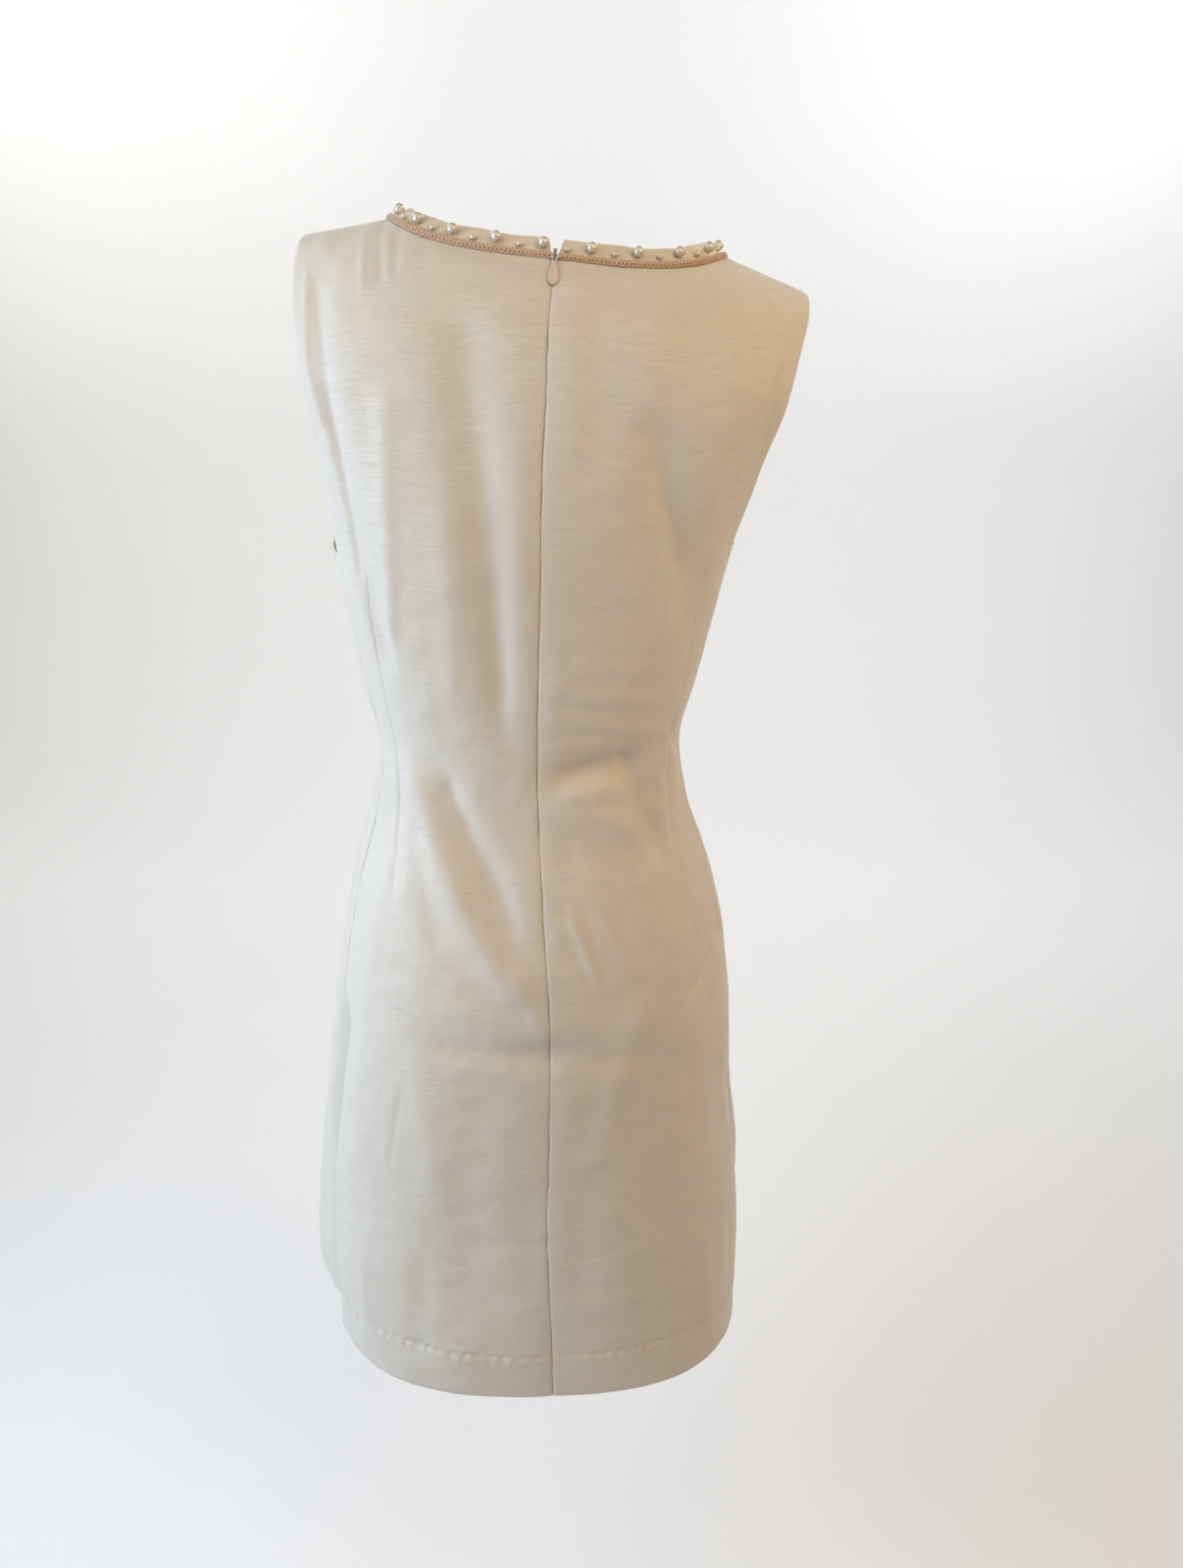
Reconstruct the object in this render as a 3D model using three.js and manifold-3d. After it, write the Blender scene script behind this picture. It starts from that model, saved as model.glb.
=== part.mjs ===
// A sleeveless shift dress, worn: hollow, standing on its cut as it hangs from the shoulders.
// Millimetres, +Z up. The front faces -Y and the wearer's left is +X. The origin is the middle
// of the shoulder line, where the wearer carries the dress.
import * as THREE from 'three';
import { mergeVertices } from 'three/addons/utils/BufferGeometryUtils.js';
import Module from 'manifold-3d';

// ---------------------------------------------------------------- driving sizes
const CLOTH = 1.2;              // thickness of the cloth wall
const SEAM_GAP = 0.36;          // space between two pieces at a seam
const LIFT = 0.35;              // space under what is sewn on the cloth
const HEM_Z = -909;             // lower edge of the skirt
const HEM_DEPTH = 42;           // height of the turned-up hem
const HEM_WALL = 2.2;           // cloth wall where the hem is doubled
const UNDERARM_Z = -213;        // where the side seam meets the armhole
const NECK_HALF = 115.5;        // half the width of the neckline
const NECK_RISE = 10;           // how far the carried line rises towards the neck
const SHOULDER_SLOPE = 0.28;    // fall of the shoulder for each millimetre outwards
const SHOULDER_ROUND = 92;      // height over which back and front close at the shoulder
const BACK_NECK_DROP = 17;
const FRONT_NECK_DROP = 42;
const TIP_ANGLE = 24.5;         // degrees from the side at the tip of the shoulder
const NECK_ANGLE = 55.6;        // degrees from the side at the neck end of the shoulder
const ZIP_Z = -506;             // lower end of the zip
const ZIP_TAPE = 12;            // width of one zip tape
const TAPE_WALL = 0.8;
const TAPE_LIFT = 0.7;          // space between a tape and the cloth it is sewn inside
const BAND_HEIGHT = 14.5;       // neck band above the seam, half of the braid included
const BAND_WALL = 1;
const BAND_GAP_BELOW = 2.6;     // half the opening of the band at the zip, at the seam
const BAND_GAP_ABOVE = 5.5;     // the same at the upper edge
const CENTRE_LEAN = 57;         // degrees the band stands up at the centre
const SHOULDER_LEAN = 32;       // and at the shoulder
const BRAID_WIDTH = 5.6;
const BRAID_THICK = 2.4;
const BRAID_EASE = 9;           // degrees the braid lies flatter than the band at the shoulder
const LARGE_PEARL = 7;
const SMALL_PEARL = 4;
const PEARL_COUNT = 40;
const PEARL_MARGIN = 8;         // from the centre back to the first pearl
const LARGE_PEARL_UP = 7.2;     // height of the pearls' middles above the neck seam
const SMALL_PEARL_UP = 5.2;
const SLIDER = { width: 3, height: 5, depth: 3.2, low: 0.5, back: -1.6 };
const HINGE_UP = -3.2;          // the pull's hinge, below the neck seam
const HINGE_OUT = 2.9;          // and in front of the cloth
const LOOP = { inner: 1.15, outer: 1.85, width: 1, stem: 1.2 };
const PULL = { length: 20.4, half: 3.5, neck: 1.5, top: 0.55, thick: 1.2 };
const PULL_EYE = { half: 0.8, top: -0.4, bottom: -2.6 };
const PULL_REST = 3;            // degrees that the resting pull leans in to the cloth

// ---------------------------------------------------------------- short tables
// Level sections: half the width, depth behind and before the side, how square the section
// is, and the angle of the side seam behind the side.
const LEVELS = [
  { z: 40, width: 190, back: 90, front: 78, corner: 2.3, seam: 16 },
  { z: -50, width: 190, back: 93, front: 86, corner: 2.3, seam: 16 },
  { z: -100, width: 186, back: 99, front: 102, corner: 2.3, seam: 16 },
  { z: -150, width: 168, back: 102, front: 116, corner: 2.3, seam: 16 },
  { z: -200, width: 152, back: 101, front: 125, corner: 2.3, seam: 16 },
  { z: -250, width: 142, back: 97, front: 124, corner: 2.3, seam: 16 },
  { z: -310, width: 130, back: 92, front: 108, corner: 2.25, seam: 16 },
  { z: -363, width: 119.5, back: 87, front: 93, corner: 2.2, seam: 16 },
  { z: -410, width: 127, back: 90, front: 95, corner: 2.2, seam: 16 },
  { z: -460, width: 143, back: 105, front: 101, corner: 2.2, seam: 16 },
  { z: -520, width: 157.5, back: 121, front: 106, corner: 2.2, seam: 16 },
  { z: -580, width: 167, back: 128, front: 107, corner: 2.2, seam: 15 },
  { z: -660, width: 175.5, back: 130, front: 108, corner: 2.2, seam: 12 },
  { z: -740, width: 183, back: 131, front: 111, corner: 2.2, seam: 8 },
  { z: -820, width: 185, back: 133, front: 116, corner: 2.4, seam: 4 },
  { z: -909, width: 180, back: 137, front: 117.5, corner: 2.65, seam: 0 },
];

// The stance: sideways sway, twist of the section, turn of the seams on it, shoulder tilt,
// and how far the centre back seam drifts from the middle, in degrees.
const STANCE = [
  { z: 40, sway: 1, twist: 0, turn: 0, tilt: 6, drift: 0 },
  { z: -20, sway: 3.5, twist: 0.4, turn: 0, tilt: 6, drift: 0 },
  { z: -60, sway: 8.5, twist: 1.2, turn: 0, tilt: 6, drift: 0 },
  { z: -100, sway: 12, twist: 2, turn: 0, tilt: 5, drift: 0 },
  { z: -163, sway: 18, twist: 3.3, turn: 0, tilt: 2.5, drift: 0 },
  { z: -227, sway: 23, twist: 4.5, turn: 0.4, tilt: 0, drift: -0.2 },
  { z: -300, sway: 26, twist: 4.5, turn: 1, tilt: 0, drift: -0.5 },
  { z: -363, sway: 28.5, twist: 5, turn: 1.5, tilt: 0, drift: -0.8 },
  { z: -480, sway: 27.5, twist: 5, turn: 1.6, tilt: 0, drift: -0.8 },
  { z: -560, sway: 28, twist: 5.5, turn: 2, tilt: 0, drift: -0.7 },
  { z: -660, sway: 32, twist: 4.4, turn: 3, tilt: 0, drift: -0.6 },
  { z: -780, sway: 30, twist: 0, turn: 4.5, tilt: 0, drift: -1.1 },
  { z: -909, sway: 27.3, twist: 0.6, turn: 5.3, tilt: 0, drift: -3.4 },
];

// Armhole edges from the underarm to the tip of the shoulder, in even steps of the cloth.
const BACK_ARMHOLE = [
  { angle: 16, z: -213 },
  { angle: 21, z: -170 },
  { angle: 27, z: -128 },
  { angle: 27.5, z: -91 },
  { angle: 24.5, z: -60 },
  { angle: 22, z: -36 },
  { angle: 22.5, z: -21 },
  { angle: TIP_ANGLE, z: -17 },
];
const FRONT_ARMHOLE = [
  { angle: 16, z: -213 },
  { angle: -10, z: -200 },
  { angle: -30, z: -152 },
  { angle: -35, z: -108 },
  { angle: -33, z: -72 },
  { angle: -28, z: -42 },
  { angle: -25, z: -23 },
  { angle: -TIP_ANGLE, z: -17 },
];

// Largest folds of the hanging cloth: from one angle and height to another, with the
// width across and the height of the ridge (a trough is negative).
const FOLDS = [
  { name: 'waist fold', a: 92, z: -368, toA: 122, toZ: -364, width: 16, rise: -5 },
  { name: 'waist fold end', a: 124, z: -366, toA: 132, toZ: -424, width: 15, rise: -4 },
  { name: 'puff under the waist fold', a: 102, z: -398, toA: 116, toZ: -408, width: 22, rise: 4 },
  { name: 'left slanting trough', a: 60, z: -385, toA: 87, toZ: -493, width: 15, rise: -4 },
  { name: 'left slanting ridge', a: 43, z: -380, toA: 80, toZ: -518, width: 17, rise: 3.5 },
  { name: 'right back valley', a: 114, z: -145, toA: 139, toZ: -240, width: 26, rise: -5 },
  { name: 'right back ridge', a: 107.5, z: -40, toA: 107, toZ: -140, width: 20, rise: 2.5 },
  { name: 'left back trough', a: 74, z: -70, toA: 83, toZ: -320, width: 22, rise: -3 },
  { name: 'left armhole trough', a: 38, z: -60, toA: 38, toZ: -270, width: 14, rise: -3 },
  { name: 'right armhole crease', a: 147, z: -72, toA: 145, toZ: -116, width: 13, rise: -2.5 },
  { name: 'hip crease', a: 158, z: -520, toA: 137, toZ: -550, width: 13, rise: -3 },
  { name: 'left seam pull', a: 14, z: -600, toA: 0, toZ: -930, width: 20, rise: -17 },
  { name: 'right seam pull', a: 166, z: -680, toA: 180, toZ: -930, width: 18, rise: -4 },
  { name: 'left front flare', a: -42, z: -772, toA: -22, toZ: -950, width: 78, rise: 51 },
  { name: 'right front flare', a: 199, z: -780, toA: 203, toZ: -950, width: 34, rise: 11 },
  { name: 'front waist fold', a: -62, z: -392, toA: -96, toZ: -384, width: 16, rise: -4 },
  { name: 'front slanting trough', a: -118, z: -400, toA: -96, toZ: -500, width: 18, rise: -3.5 },
  { name: 'front bust crease', a: -140, z: -190, toA: -128, toZ: -240, width: 16, rise: -3 },
];
const FOLD_GIRTH = 140;         // radius that turns an angle into a distance along the cloth

// ---------------------------------------------------------------- small helpers
const radians = THREE.MathUtils.degToRad;
const lerp = THREE.MathUtils.lerp;
const clamp = THREE.MathUtils.clamp;
const signedPower = (value, power) => Math.sign(value) * Math.abs(value) ** power;

// Smooth reading of one column of a table whose rows go down in z.
function column(table, name, z) {
  const height = clamp(z, table.at(-1).z, table[0].z);
  let i = 0;
  while (i < table.length - 2 && table[i + 1].z > height) i += 1;
  const slope = (j) => (table[j + 1][name] - table[j][name]) / (table[j + 1].z - table[j].z);
  const tangent = (j) => {
    if (j === 0) return slope(0);
    if (j === table.length - 1) return slope(j - 1);
    const before = table[j].z - table[j - 1].z;
    const after = table[j + 1].z - table[j].z;
    return (slope(j - 1) * after + slope(j) * before) / (before + after);
  };
  const step = table[i + 1].z - table[i].z;
  const t = (height - table[i].z) / step;
  const ease = t * t * (3 - 2 * t);
  const start = t * (1 - t) ** 2 * step * tangent(i);
  const end = t * t * (t - 1) * step * tangent(i + 1);
  return lerp(table[i][name], table[i + 1][name], ease) + start + end;
}

// Smooth reading of an armhole table by its fraction from underarm to tip.
function alongArmhole(table, fraction) {
  const place = clamp(fraction, 0, 1) * (table.length - 1);
  const i = Math.min(Math.floor(place), table.length - 2);
  const t = place - i;
  const row = (j) => table[clamp(j, 0, table.length - 1)];
  const spline = (name) => {
    const p0 = row(i - 1)[name];
    const p1 = row(i)[name];
    const p2 = row(i + 1)[name];
    const p3 = row(i + 2)[name];
    const cubic = (3 * (p1 - p2) + p3 - p0) * t + (2 * p0 - 5 * p1 + 4 * p2 - p3);
    return p1 + 0.5 * t * (p2 - p0 + t * cubic);
  };
  return { angle: spline('angle'), z: spline('z') };
}

// ---------------------------------------------------------------- the cloth surface
// Height of the line over the shoulder at a distance from the centre.
function carriedLine(x) {
  const out = Math.abs(x);
  if (out < NECK_HALF) return NECK_RISE * (1 - (out / NECK_HALF) ** 2);
  return -(out - NECK_HALF) * SHOULDER_SLOPE;
}

// How far the folds push the cloth out at an angle and height.
function foldRise(angle, z) {
  let rise = 0;
  for (const fold of FOLDS) {
    const across = radians(fold.toA - fold.a) * FOLD_GIRTH;
    const down = fold.toZ - fold.z;
    const turn = angle - fold.a;
    const px = radians(turn - 360 * Math.round(turn / 360)) * FOLD_GIRTH;
    const pz = z - fold.z;
    const length = Math.hypot(across, down);
    const along = (px * across + pz * down) / length;
    const off = Math.abs(px * down - pz * across) / length;
    const past = Math.max(0, -along, along - length);
    const distance = Math.hypot(off / fold.width, past / (fold.width * 1.6));
    rise += fold.rise * Math.exp(-distance * distance * 1.6);
  }
  return rise;
}

// Point of the dress before it takes its stance. Angle 0 is the wearer's left side,
// 90 the centre back, 180 the right side and -90 the centre front.
function standingPoint(angle, z) {
  const turned = radians(angle + column(STANCE, 'turn', z));
  const power = 2 / column(LEVELS, 'corner', z);
  const rise = foldRise(angle, z);
  const width = column(LEVELS, 'width', z) + rise;
  const depth = column(LEVELS, Math.sin(turned) > 0 ? 'back' : 'front', z) + rise;
  const x = width * signedPower(Math.cos(turned), power);
  const closed = clamp((carriedLine(x) - z) / SHOULDER_ROUND, 0, 1);
  const y = depth * signedPower(Math.sin(turned), power) * Math.sqrt(1 - (1 - closed) ** 2);
  return new THREE.Vector3(x, y, z);
}

// The same point in the stance: tilted, twisted and swayed by its height.
function skin(angle, z) {
  const p = standingPoint(angle, z);
  const tilt = radians(column(STANCE, 'tilt', z));
  const twist = radians(column(STANCE, 'twist', z));
  const x = p.x * Math.cos(tilt);
  return new THREE.Vector3(
    x * Math.cos(twist) - p.y * Math.sin(twist) + column(STANCE, 'sway', z),
    x * Math.sin(twist) + p.y * Math.cos(twist),
    z + p.x * Math.sin(tilt),
  );
}

// ---------------------------------------------------------------- panels
const seamTrim = THREE.MathUtils.radToDeg(SEAM_GAP / 2 / FOLD_GIRTH);
const PANELS = {
  back: { centre: 90, drift: 1, trim: seamTrim, armhole: BACK_ARMHOLE, drop: BACK_NECK_DROP },
  front: { centre: -90, drift: 0, trim: -seamTrim, armhole: FRONT_ARMHOLE, drop: FRONT_NECK_DROP },
};

// Share of a panel's upper edge that is neckline; the rest is the shoulder seam.
const neckAcross = (90 - NECK_ANGLE) / (90 - TIP_ANGLE);

// Height of the upper edge of a panel, before the stance.
function upperEdge(panel, across) {
  if (across <= neckAcross) return -panel.drop * (1 - (across / neckAcross) ** 3);
  const angle = lerp(90, TIP_ANGLE, across);
  return carriedLine(column(LEVELS, 'width', 0) * Math.cos(radians(angle)) ** (2 / LEVELS[0].corner));
}

// Where a place on a panel lies: across 0 at the centre line and 1 at the side,
// up 0 at the hem, 1 at the underarm and 2 at the neckline and shoulder seam.
function panelPlace(panel, across, up) {
  if (up <= 1) {
    const z = lerp(HEM_Z, UNDERARM_Z, up);
    return { angle: lerp(panel.centre, column(LEVELS, 'seam', z) + panel.trim, across), z };
  }
  const rise = up - 1;
  const edge = alongArmhole(panel.armhole, rise);
  const angle = lerp(panel.centre, edge.angle + panel.trim * (1 - rise), across);
  const centreZ = lerp(UNDERARM_Z, -panel.drop, Math.sin(rise * Math.PI / 2));
  const tipZ = panel.armhole.at(-1).z;
  const sideways = across * across;
  const correction = upperEdge(panel, across) - lerp(-panel.drop, tipZ, sideways);
  return { angle, z: lerp(centreZ, edge.z, sideways) + rise ** 3 * correction };
}

// A panel point on one side of the dress, 1 for the wearer's left and -1 for the right,
// with the outward normal there. On the shoulder seam the cloth lies level front to back.
function panelPoint(panel, side, across, up) {
  const place = panelPlace(panel, across, up);
  const drift = panel.drift * column(STANCE, 'drift', place.z) * (1 - across);
  const angle = (side > 0 ? place.angle : 180 - place.angle) + drift;
  const around = skin(angle + 0.2, place.z).sub(skin(angle - 0.2, place.z));
  const upwards = skin(angle, place.z + 0.3).sub(skin(angle, place.z - 0.3));
  const normal = around.cross(upwards).normalize();
  if (up === 2 && across >= neckAcross) normal.setY(0).normalize();
  return { point: skin(angle, place.z), normal };
}

// Closed wall between an outer and an inner grid of points.
function wallGeometry(outer, inner) {
  const rows = outer.length;
  const columns = outer[0].length;
  const points = [...outer.flat(), ...inner.flat()];
  const out = (i, j) => i * columns + j;
  const inn = (i, j) => rows * columns + out(i, j);
  const triangles = [];
  const quad = (a, b, c, d) => triangles.push(a, b, c, a, c, d);
  for (let i = 0; i < rows - 1; i += 1) {
    for (let j = 0; j < columns - 1; j += 1) {
      quad(out(i, j), out(i, j + 1), out(i + 1, j + 1), out(i + 1, j));
      quad(inn(i, j), inn(i + 1, j), inn(i + 1, j + 1), inn(i, j + 1));
    }
    quad(out(i, 0), out(i + 1, 0), inn(i + 1, 0), inn(i, 0));
    quad(out(i + 1, columns - 1), out(i, columns - 1), inn(i, columns - 1), inn(i + 1, columns - 1));
  }
  for (let j = 0; j < columns - 1; j += 1) {
    quad(out(0, j + 1), out(0, j), inn(0, j), inn(0, j + 1));
    quad(out(rows - 1, j), out(rows - 1, j + 1), inn(rows - 1, j + 1), inn(rows - 1, j));
  }
  return closedGeometry(points, triangles);
}

// Geometry from points and triangles, with the faces turned to point out.
function closedGeometry(points, triangles) {
  let volume = 0;
  for (let k = 0; k < triangles.length; k += 3) {
    const [a, b, c] = triangles.slice(k, k + 3).map((index) => points[index]);
    volume += a.dot(b.clone().cross(c));
  }
  const index = volume > 0 ? triangles : [...triangles].reverse();
  const geometry = new THREE.BufferGeometry();
  geometry.setAttribute('position', new THREE.Float32BufferAttribute(points.flatMap((p) => p.toArray()), 3));
  geometry.setIndex(index);
  geometry.computeVertexNormals();
  return geometry;
}

// Points of a grid of places, each moved in along its normal by a depth.
function sunk(grid, depth) {
  const depthAt = (point) => (typeof depth === 'function' ? depth(point) : depth);
  return grid.map((row) => row.map(({ point, normal }) => (
    point.clone().addScaledVector(normal, -depthAt(point)))));
}

const spread = (from, to, steps) => Array.from({ length: steps + 1 }, (_, k) => lerp(from, to, k / steps));
const ACROSS = [
  ...spread(0, 1, 8).map((share) => neckAcross * (1 - (1 - share) ** 1.4)),
  ...spread(neckAcross, 1, 6).slice(1),
];
const hemUp = HEM_DEPTH / (UNDERARM_Z - HEM_Z);
const UP = [...spread(0, hemUp, 2), ...spread(hemUp, 1, 24).slice(1), ...spread(1, 2, 15).slice(1)];
const doubledAtHem = (point) => (point.z < HEM_Z + HEM_DEPTH - 1 ? HEM_WALL : CLOTH);

// One back panel; it stops half a seam gap short of the centre back.
function backPanel(side) {
  const grid = UP.map((up) => ACROSS.map((across) => {
    const place = panelPoint(PANELS.back, side, across, up);
    if (across === 0) place.point.x += side * SEAM_GAP / 2;
    if (up === 2 && across >= neckAcross) place.point.y += SEAM_GAP / 2;
    return place;
  }));
  return wallGeometry(sunk(grid, 0), sunk(grid, doubledAtHem));
}

// The front in one piece, from the right side seam to the left.
function frontPanel() {
  const columns = [...ACROSS.map((across) => -across).reverse(), ...ACROSS.slice(1)];
  const grid = UP.map((up) => columns.map((across) => {
    const place = panelPoint(PANELS.front, across < 0 ? -1 : 1, Math.abs(across), up);
    if (up === 2 && Math.abs(across) >= neckAcross) place.point.y -= SEAM_GAP / 2;
    return place;
  }));
  return wallGeometry(sunk(grid, 0), sunk(grid, doubledAtHem));
}

// ---------------------------------------------------------------- neckline
const NECK_COLUMNS = ACROSS.filter((across) => across <= neckAcross);
const neckStretch = (panel, side) => (
  NECK_COLUMNS.map((across) => panelPoint(panel, side, across, 2).point));

// The neckline as one run: centre back, wearer's left, centre front, right, centre back.
const neckPoints = [
  ...neckStretch(PANELS.back, 1),
  ...neckStretch(PANELS.front, 1).reverse().slice(1),
  ...neckStretch(PANELS.front, -1).slice(1),
  ...neckStretch(PANELS.back, -1).reverse().slice(1),
];
const LEFT_SHOULDER = NECK_COLUMNS.length - 1;
const RIGHT_SHOULDER = 3 * LEFT_SHOULDER;
const neckDistances = [0];
for (let k = 1; k < neckPoints.length; k += 1) {
  neckDistances.push(neckDistances[k - 1] + neckPoints[k].distanceTo(neckPoints[k - 1]));
}
const NECK_LENGTH = neckDistances.at(-1);

// Directions at each point of the neckline: along it, up the band and outwards. The band
// stands up at the centre and lies flatter at the shoulder, and a piece may lie flatter still.
function neckFrames(ease) {
  return neckPoints.map((point, k) => {
    const next = neckPoints[Math.min(k + 1, neckPoints.length - 1)];
    const along = next.clone().sub(neckPoints[Math.max(k - 1, 0)]).normalize();
    const sideways = Math.min(1, Math.abs(point.x) / NECK_HALF) ** 4;
    const shoulderLean = SHOULDER_LEAN - ease - Math.sign(point.x) * column(STANCE, 'tilt', 0);
    const lean = radians(lerp(CENTRE_LEAN, shoulderLean, sideways));
    const level = new THREE.Vector3(along.y, -along.x, 0).normalize();
    const up = level.multiplyScalar(Math.cos(lean)).add(new THREE.Vector3(0, 0, Math.sin(lean)));
    up.addScaledVector(along, -up.dot(along)).normalize();
    return { point, along, up, outwards: up.clone().cross(along).normalize() };
  });
}
const bandFrames = neckFrames(0);
const braidFrames = neckFrames(BRAID_EASE);

// The frame at a distance along the neckline, between those of its points.
function frameAt(frames, distance) {
  const last = neckDistances.length - 2;
  const k = clamp(neckDistances.findIndex((reach) => reach > distance) - 1, 0, last);
  const share = (distance - neckDistances[k]) / (neckDistances[k + 1] - neckDistances[k]);
  const mix = (name) => frames[k][name].clone().lerp(frames[k + 1][name], share);
  return { point: mix('point'), along: mix('along'), up: mix('up'), outwards: mix('outwards') };
}

const offFrame = (frame, up, outwards) => (
  frame.point.clone().addScaledVector(frame.up, up).addScaledVector(frame.outwards, outwards));

// A stretch of the standing band between two points of the neckline, trimmed at its ends.
function bandPiece(from, to) {
  const opening = (height) => lerp(BAND_GAP_BELOW, BAND_GAP_ABOVE, height / BAND_HEIGHT);
  const grid = (depth) => [SEAM_GAP, BAND_HEIGHT / 2, BAND_HEIGHT].map((height) => {
    const startTrim = from === 0 ? opening(height) : SEAM_GAP / 2;
    const endTrim = to === neckPoints.length - 1 ? opening(height) : SEAM_GAP / 2;
    const distances = [
      neckDistances[from] + startTrim,
      ...neckDistances.slice(from + 1, to),
      neckDistances[to] - endTrim,
    ];
    return distances.map((distance) => offFrame(frameAt(bandFrames, distance), height, -depth));
  });
  return wallGeometry(grid(0), grid(BAND_WALL));
}

// The braided cord in its plain outer shape, open at the zip.
function braidGeometry() {
  const sides = 8;
  const distances = [
    BAND_GAP_BELOW,
    ...neckDistances.slice(1, -1),
    NECK_LENGTH - BAND_GAP_BELOW,
  ];
  const rings = distances.map((distance) => {
    const frame = frameAt(braidFrames, distance);
    return Array.from({ length: sides }, (_, k) => {
      const turn = (k / sides) * 2 * Math.PI;
      const outwards = LIFT + BRAID_THICK / 2 * (1 + Math.sin(turn));
      return offFrame(frame, Math.cos(turn) * BRAID_WIDTH / 2, outwards);
    });
  });
  const steps = rings.length - 1;
  const triangles = [];
  for (let i = 0; i < steps; i += 1) {
    for (let k = 0; k < sides; k += 1) {
      const next = (k + 1) % sides;
      const [a, b] = [i * sides + k, i * sides + next];
      triangles.push(a, b, b + sides, a, b + sides, a + sides);
    }
  }
  for (let k = 1; k < sides - 1; k += 1) {
    triangles.push(0, k + 1, k);
    triangles.push(steps * sides, steps * sides + k, steps * sides + k + 1);
  }
  return closedGeometry(rings.flat(), triangles);
}

function pearlGeometry(diameter) {
  const ball = new THREE.IcosahedronGeometry(diameter / 2, 1);
  ball.deleteAttribute('normal');
  ball.deleteAttribute('uv');
  return mergeVertices(ball, 1e-4);
}

// ---------------------------------------------------------------- zip
// One zip tape, flat against the inside of a back panel along the centre back seam.
function zipTape(side) {
  const rows = UP.map((up) => {
    const [first, next] = [0, ACROSS[1]].map((across) => panelPoint(PANELS.back, side, across, up));
    first.point.x += side * SEAM_GAP / 2;
    const share = ZIP_TAPE / first.point.distanceTo(next.point);
    const edge = {
      point: first.point.clone().lerp(next.point, share),
      normal: first.normal.clone().lerp(next.normal, share),
    };
    return [first, edge];
  }).filter(([first]) => first.point.z > ZIP_Z);
  return wallGeometry(sunk(rows, CLOTH + TAPE_LIFT), sunk(rows, CLOTH + TAPE_LIFT + TAPE_WALL));
}

const wasm = await Module();
wasm.setup();

function toSolid(geometry) {
  const bare = geometry.clone();
  bare.deleteAttribute('normal');
  bare.deleteAttribute('uv');
  const merged = mergeVertices(bare, 1e-4);
  return new wasm.Manifold(new wasm.Mesh({
    numProp: 3,
    vertProperties: new Float32Array(merged.attributes.position.array),
    triVerts: new Uint32Array(merged.index.array),
  }));
}

function toGeometry(solid) {
  const mesh = solid.getMesh();
  const geometry = new THREE.BufferGeometry();
  geometry.setAttribute('position', new THREE.BufferAttribute(mesh.vertProperties, 3));
  geometry.setIndex(new THREE.BufferAttribute(mesh.triVerts, 1));
  geometry.computeVertexNormals();
  return geometry;
}

// The slider's body, with a stem that runs down over the cloth to the loop that carries the
// pull; x across, y up the zip, z outwards.
function sliderGeometry() {
  const front = SLIDER.back + SLIDER.depth;
  const body = new THREE.BoxGeometry(SLIDER.width, SLIDER.height, SLIDER.depth);
  body.translate(0, SLIDER.low + SLIDER.height / 2, SLIDER.back + SLIDER.depth / 2);
  const stemBack = HINGE_OUT - LOOP.outer - LOOP.stem / 2;
  const stemTop = SLIDER.low + SLIDER.height;
  const profile = new THREE.Shape();
  profile.moveTo(stemBack, HINGE_UP - LOOP.outer);
  profile.lineTo(HINGE_OUT, HINGE_UP - LOOP.outer);
  profile.absarc(HINGE_OUT, HINGE_UP, LOOP.outer, -Math.PI / 2, Math.PI / 2, false);
  profile.lineTo(front, stemTop);
  profile.lineTo(stemBack, stemTop);
  const ring = new THREE.Path();
  ring.absarc(HINGE_OUT, HINGE_UP, LOOP.inner, 0, 2 * Math.PI, true);
  profile.holes.push(ring);
  const loop = new THREE.ExtrudeGeometry(profile, { depth: LOOP.width, bevelEnabled: false, curveSegments: 7 });
  loop.translate(0, 0, -LOOP.width / 2);
  loop.rotateY(-Math.PI / 2);
  return toGeometry(toSolid(body).add(toSolid(loop)));
}

// The drop-shaped pull, hanging down from its hinge at the origin.
function pullGeometry() {
  const { length, half, neck, top, thick } = PULL;
  const drop = new THREE.Shape();
  drop.moveTo(0, top);
  drop.bezierCurveTo(neck * 0.8, top, neck, top * 0.4, neck, -1);
  drop.bezierCurveTo(neck, -length * 0.42, half, -length * 0.42, half, -length * 0.7);
  drop.bezierCurveTo(half, -length * 0.88, half * 0.55, -length, 0, -length);
  drop.bezierCurveTo(-half * 0.55, -length, -half, -length * 0.88, -half, -length * 0.7);
  drop.bezierCurveTo(-half, -length * 0.42, -neck, -length * 0.42, -neck, -1);
  drop.bezierCurveTo(-neck, top * 0.4, -neck * 0.8, top, 0, top);
  const eye = new THREE.Path();
  eye.moveTo(-PULL_EYE.half, PULL_EYE.top);
  eye.lineTo(-PULL_EYE.half, PULL_EYE.bottom);
  eye.lineTo(PULL_EYE.half, PULL_EYE.bottom);
  eye.lineTo(PULL_EYE.half, PULL_EYE.top);
  drop.holes.push(eye);
  const plate = new THREE.ExtrudeGeometry(drop, { depth: thick, bevelEnabled: false, curveSegments: 6 });
  plate.translate(0, 0, -thick / 2);
  return plate;
}

// ---------------------------------------------------------------- assembly
const finish = (color, roughness, metalness) => () => (
  new THREE.MeshStandardMaterial({ color, roughness, metalness }));
const clothFinish = finish(0xd6c8b2, 0.62, 0);
const bandFinish = finish(0xcdb591, 0.4, 0);
const braidFinish = finish(0xb58a66, 0.75, 0);
const pearlFinish = finish(0xcfc2a8, 0.22, 0.1);
const tapeFinish = finish(0xd2c2a6, 0.8, 0);
const metalFinish = finish(0xc9c2b4, 0.35, 0.9);
const pullFinish = finish(0xcbb795, 0.35, 0.3);

const dress = new THREE.Group();

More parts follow.
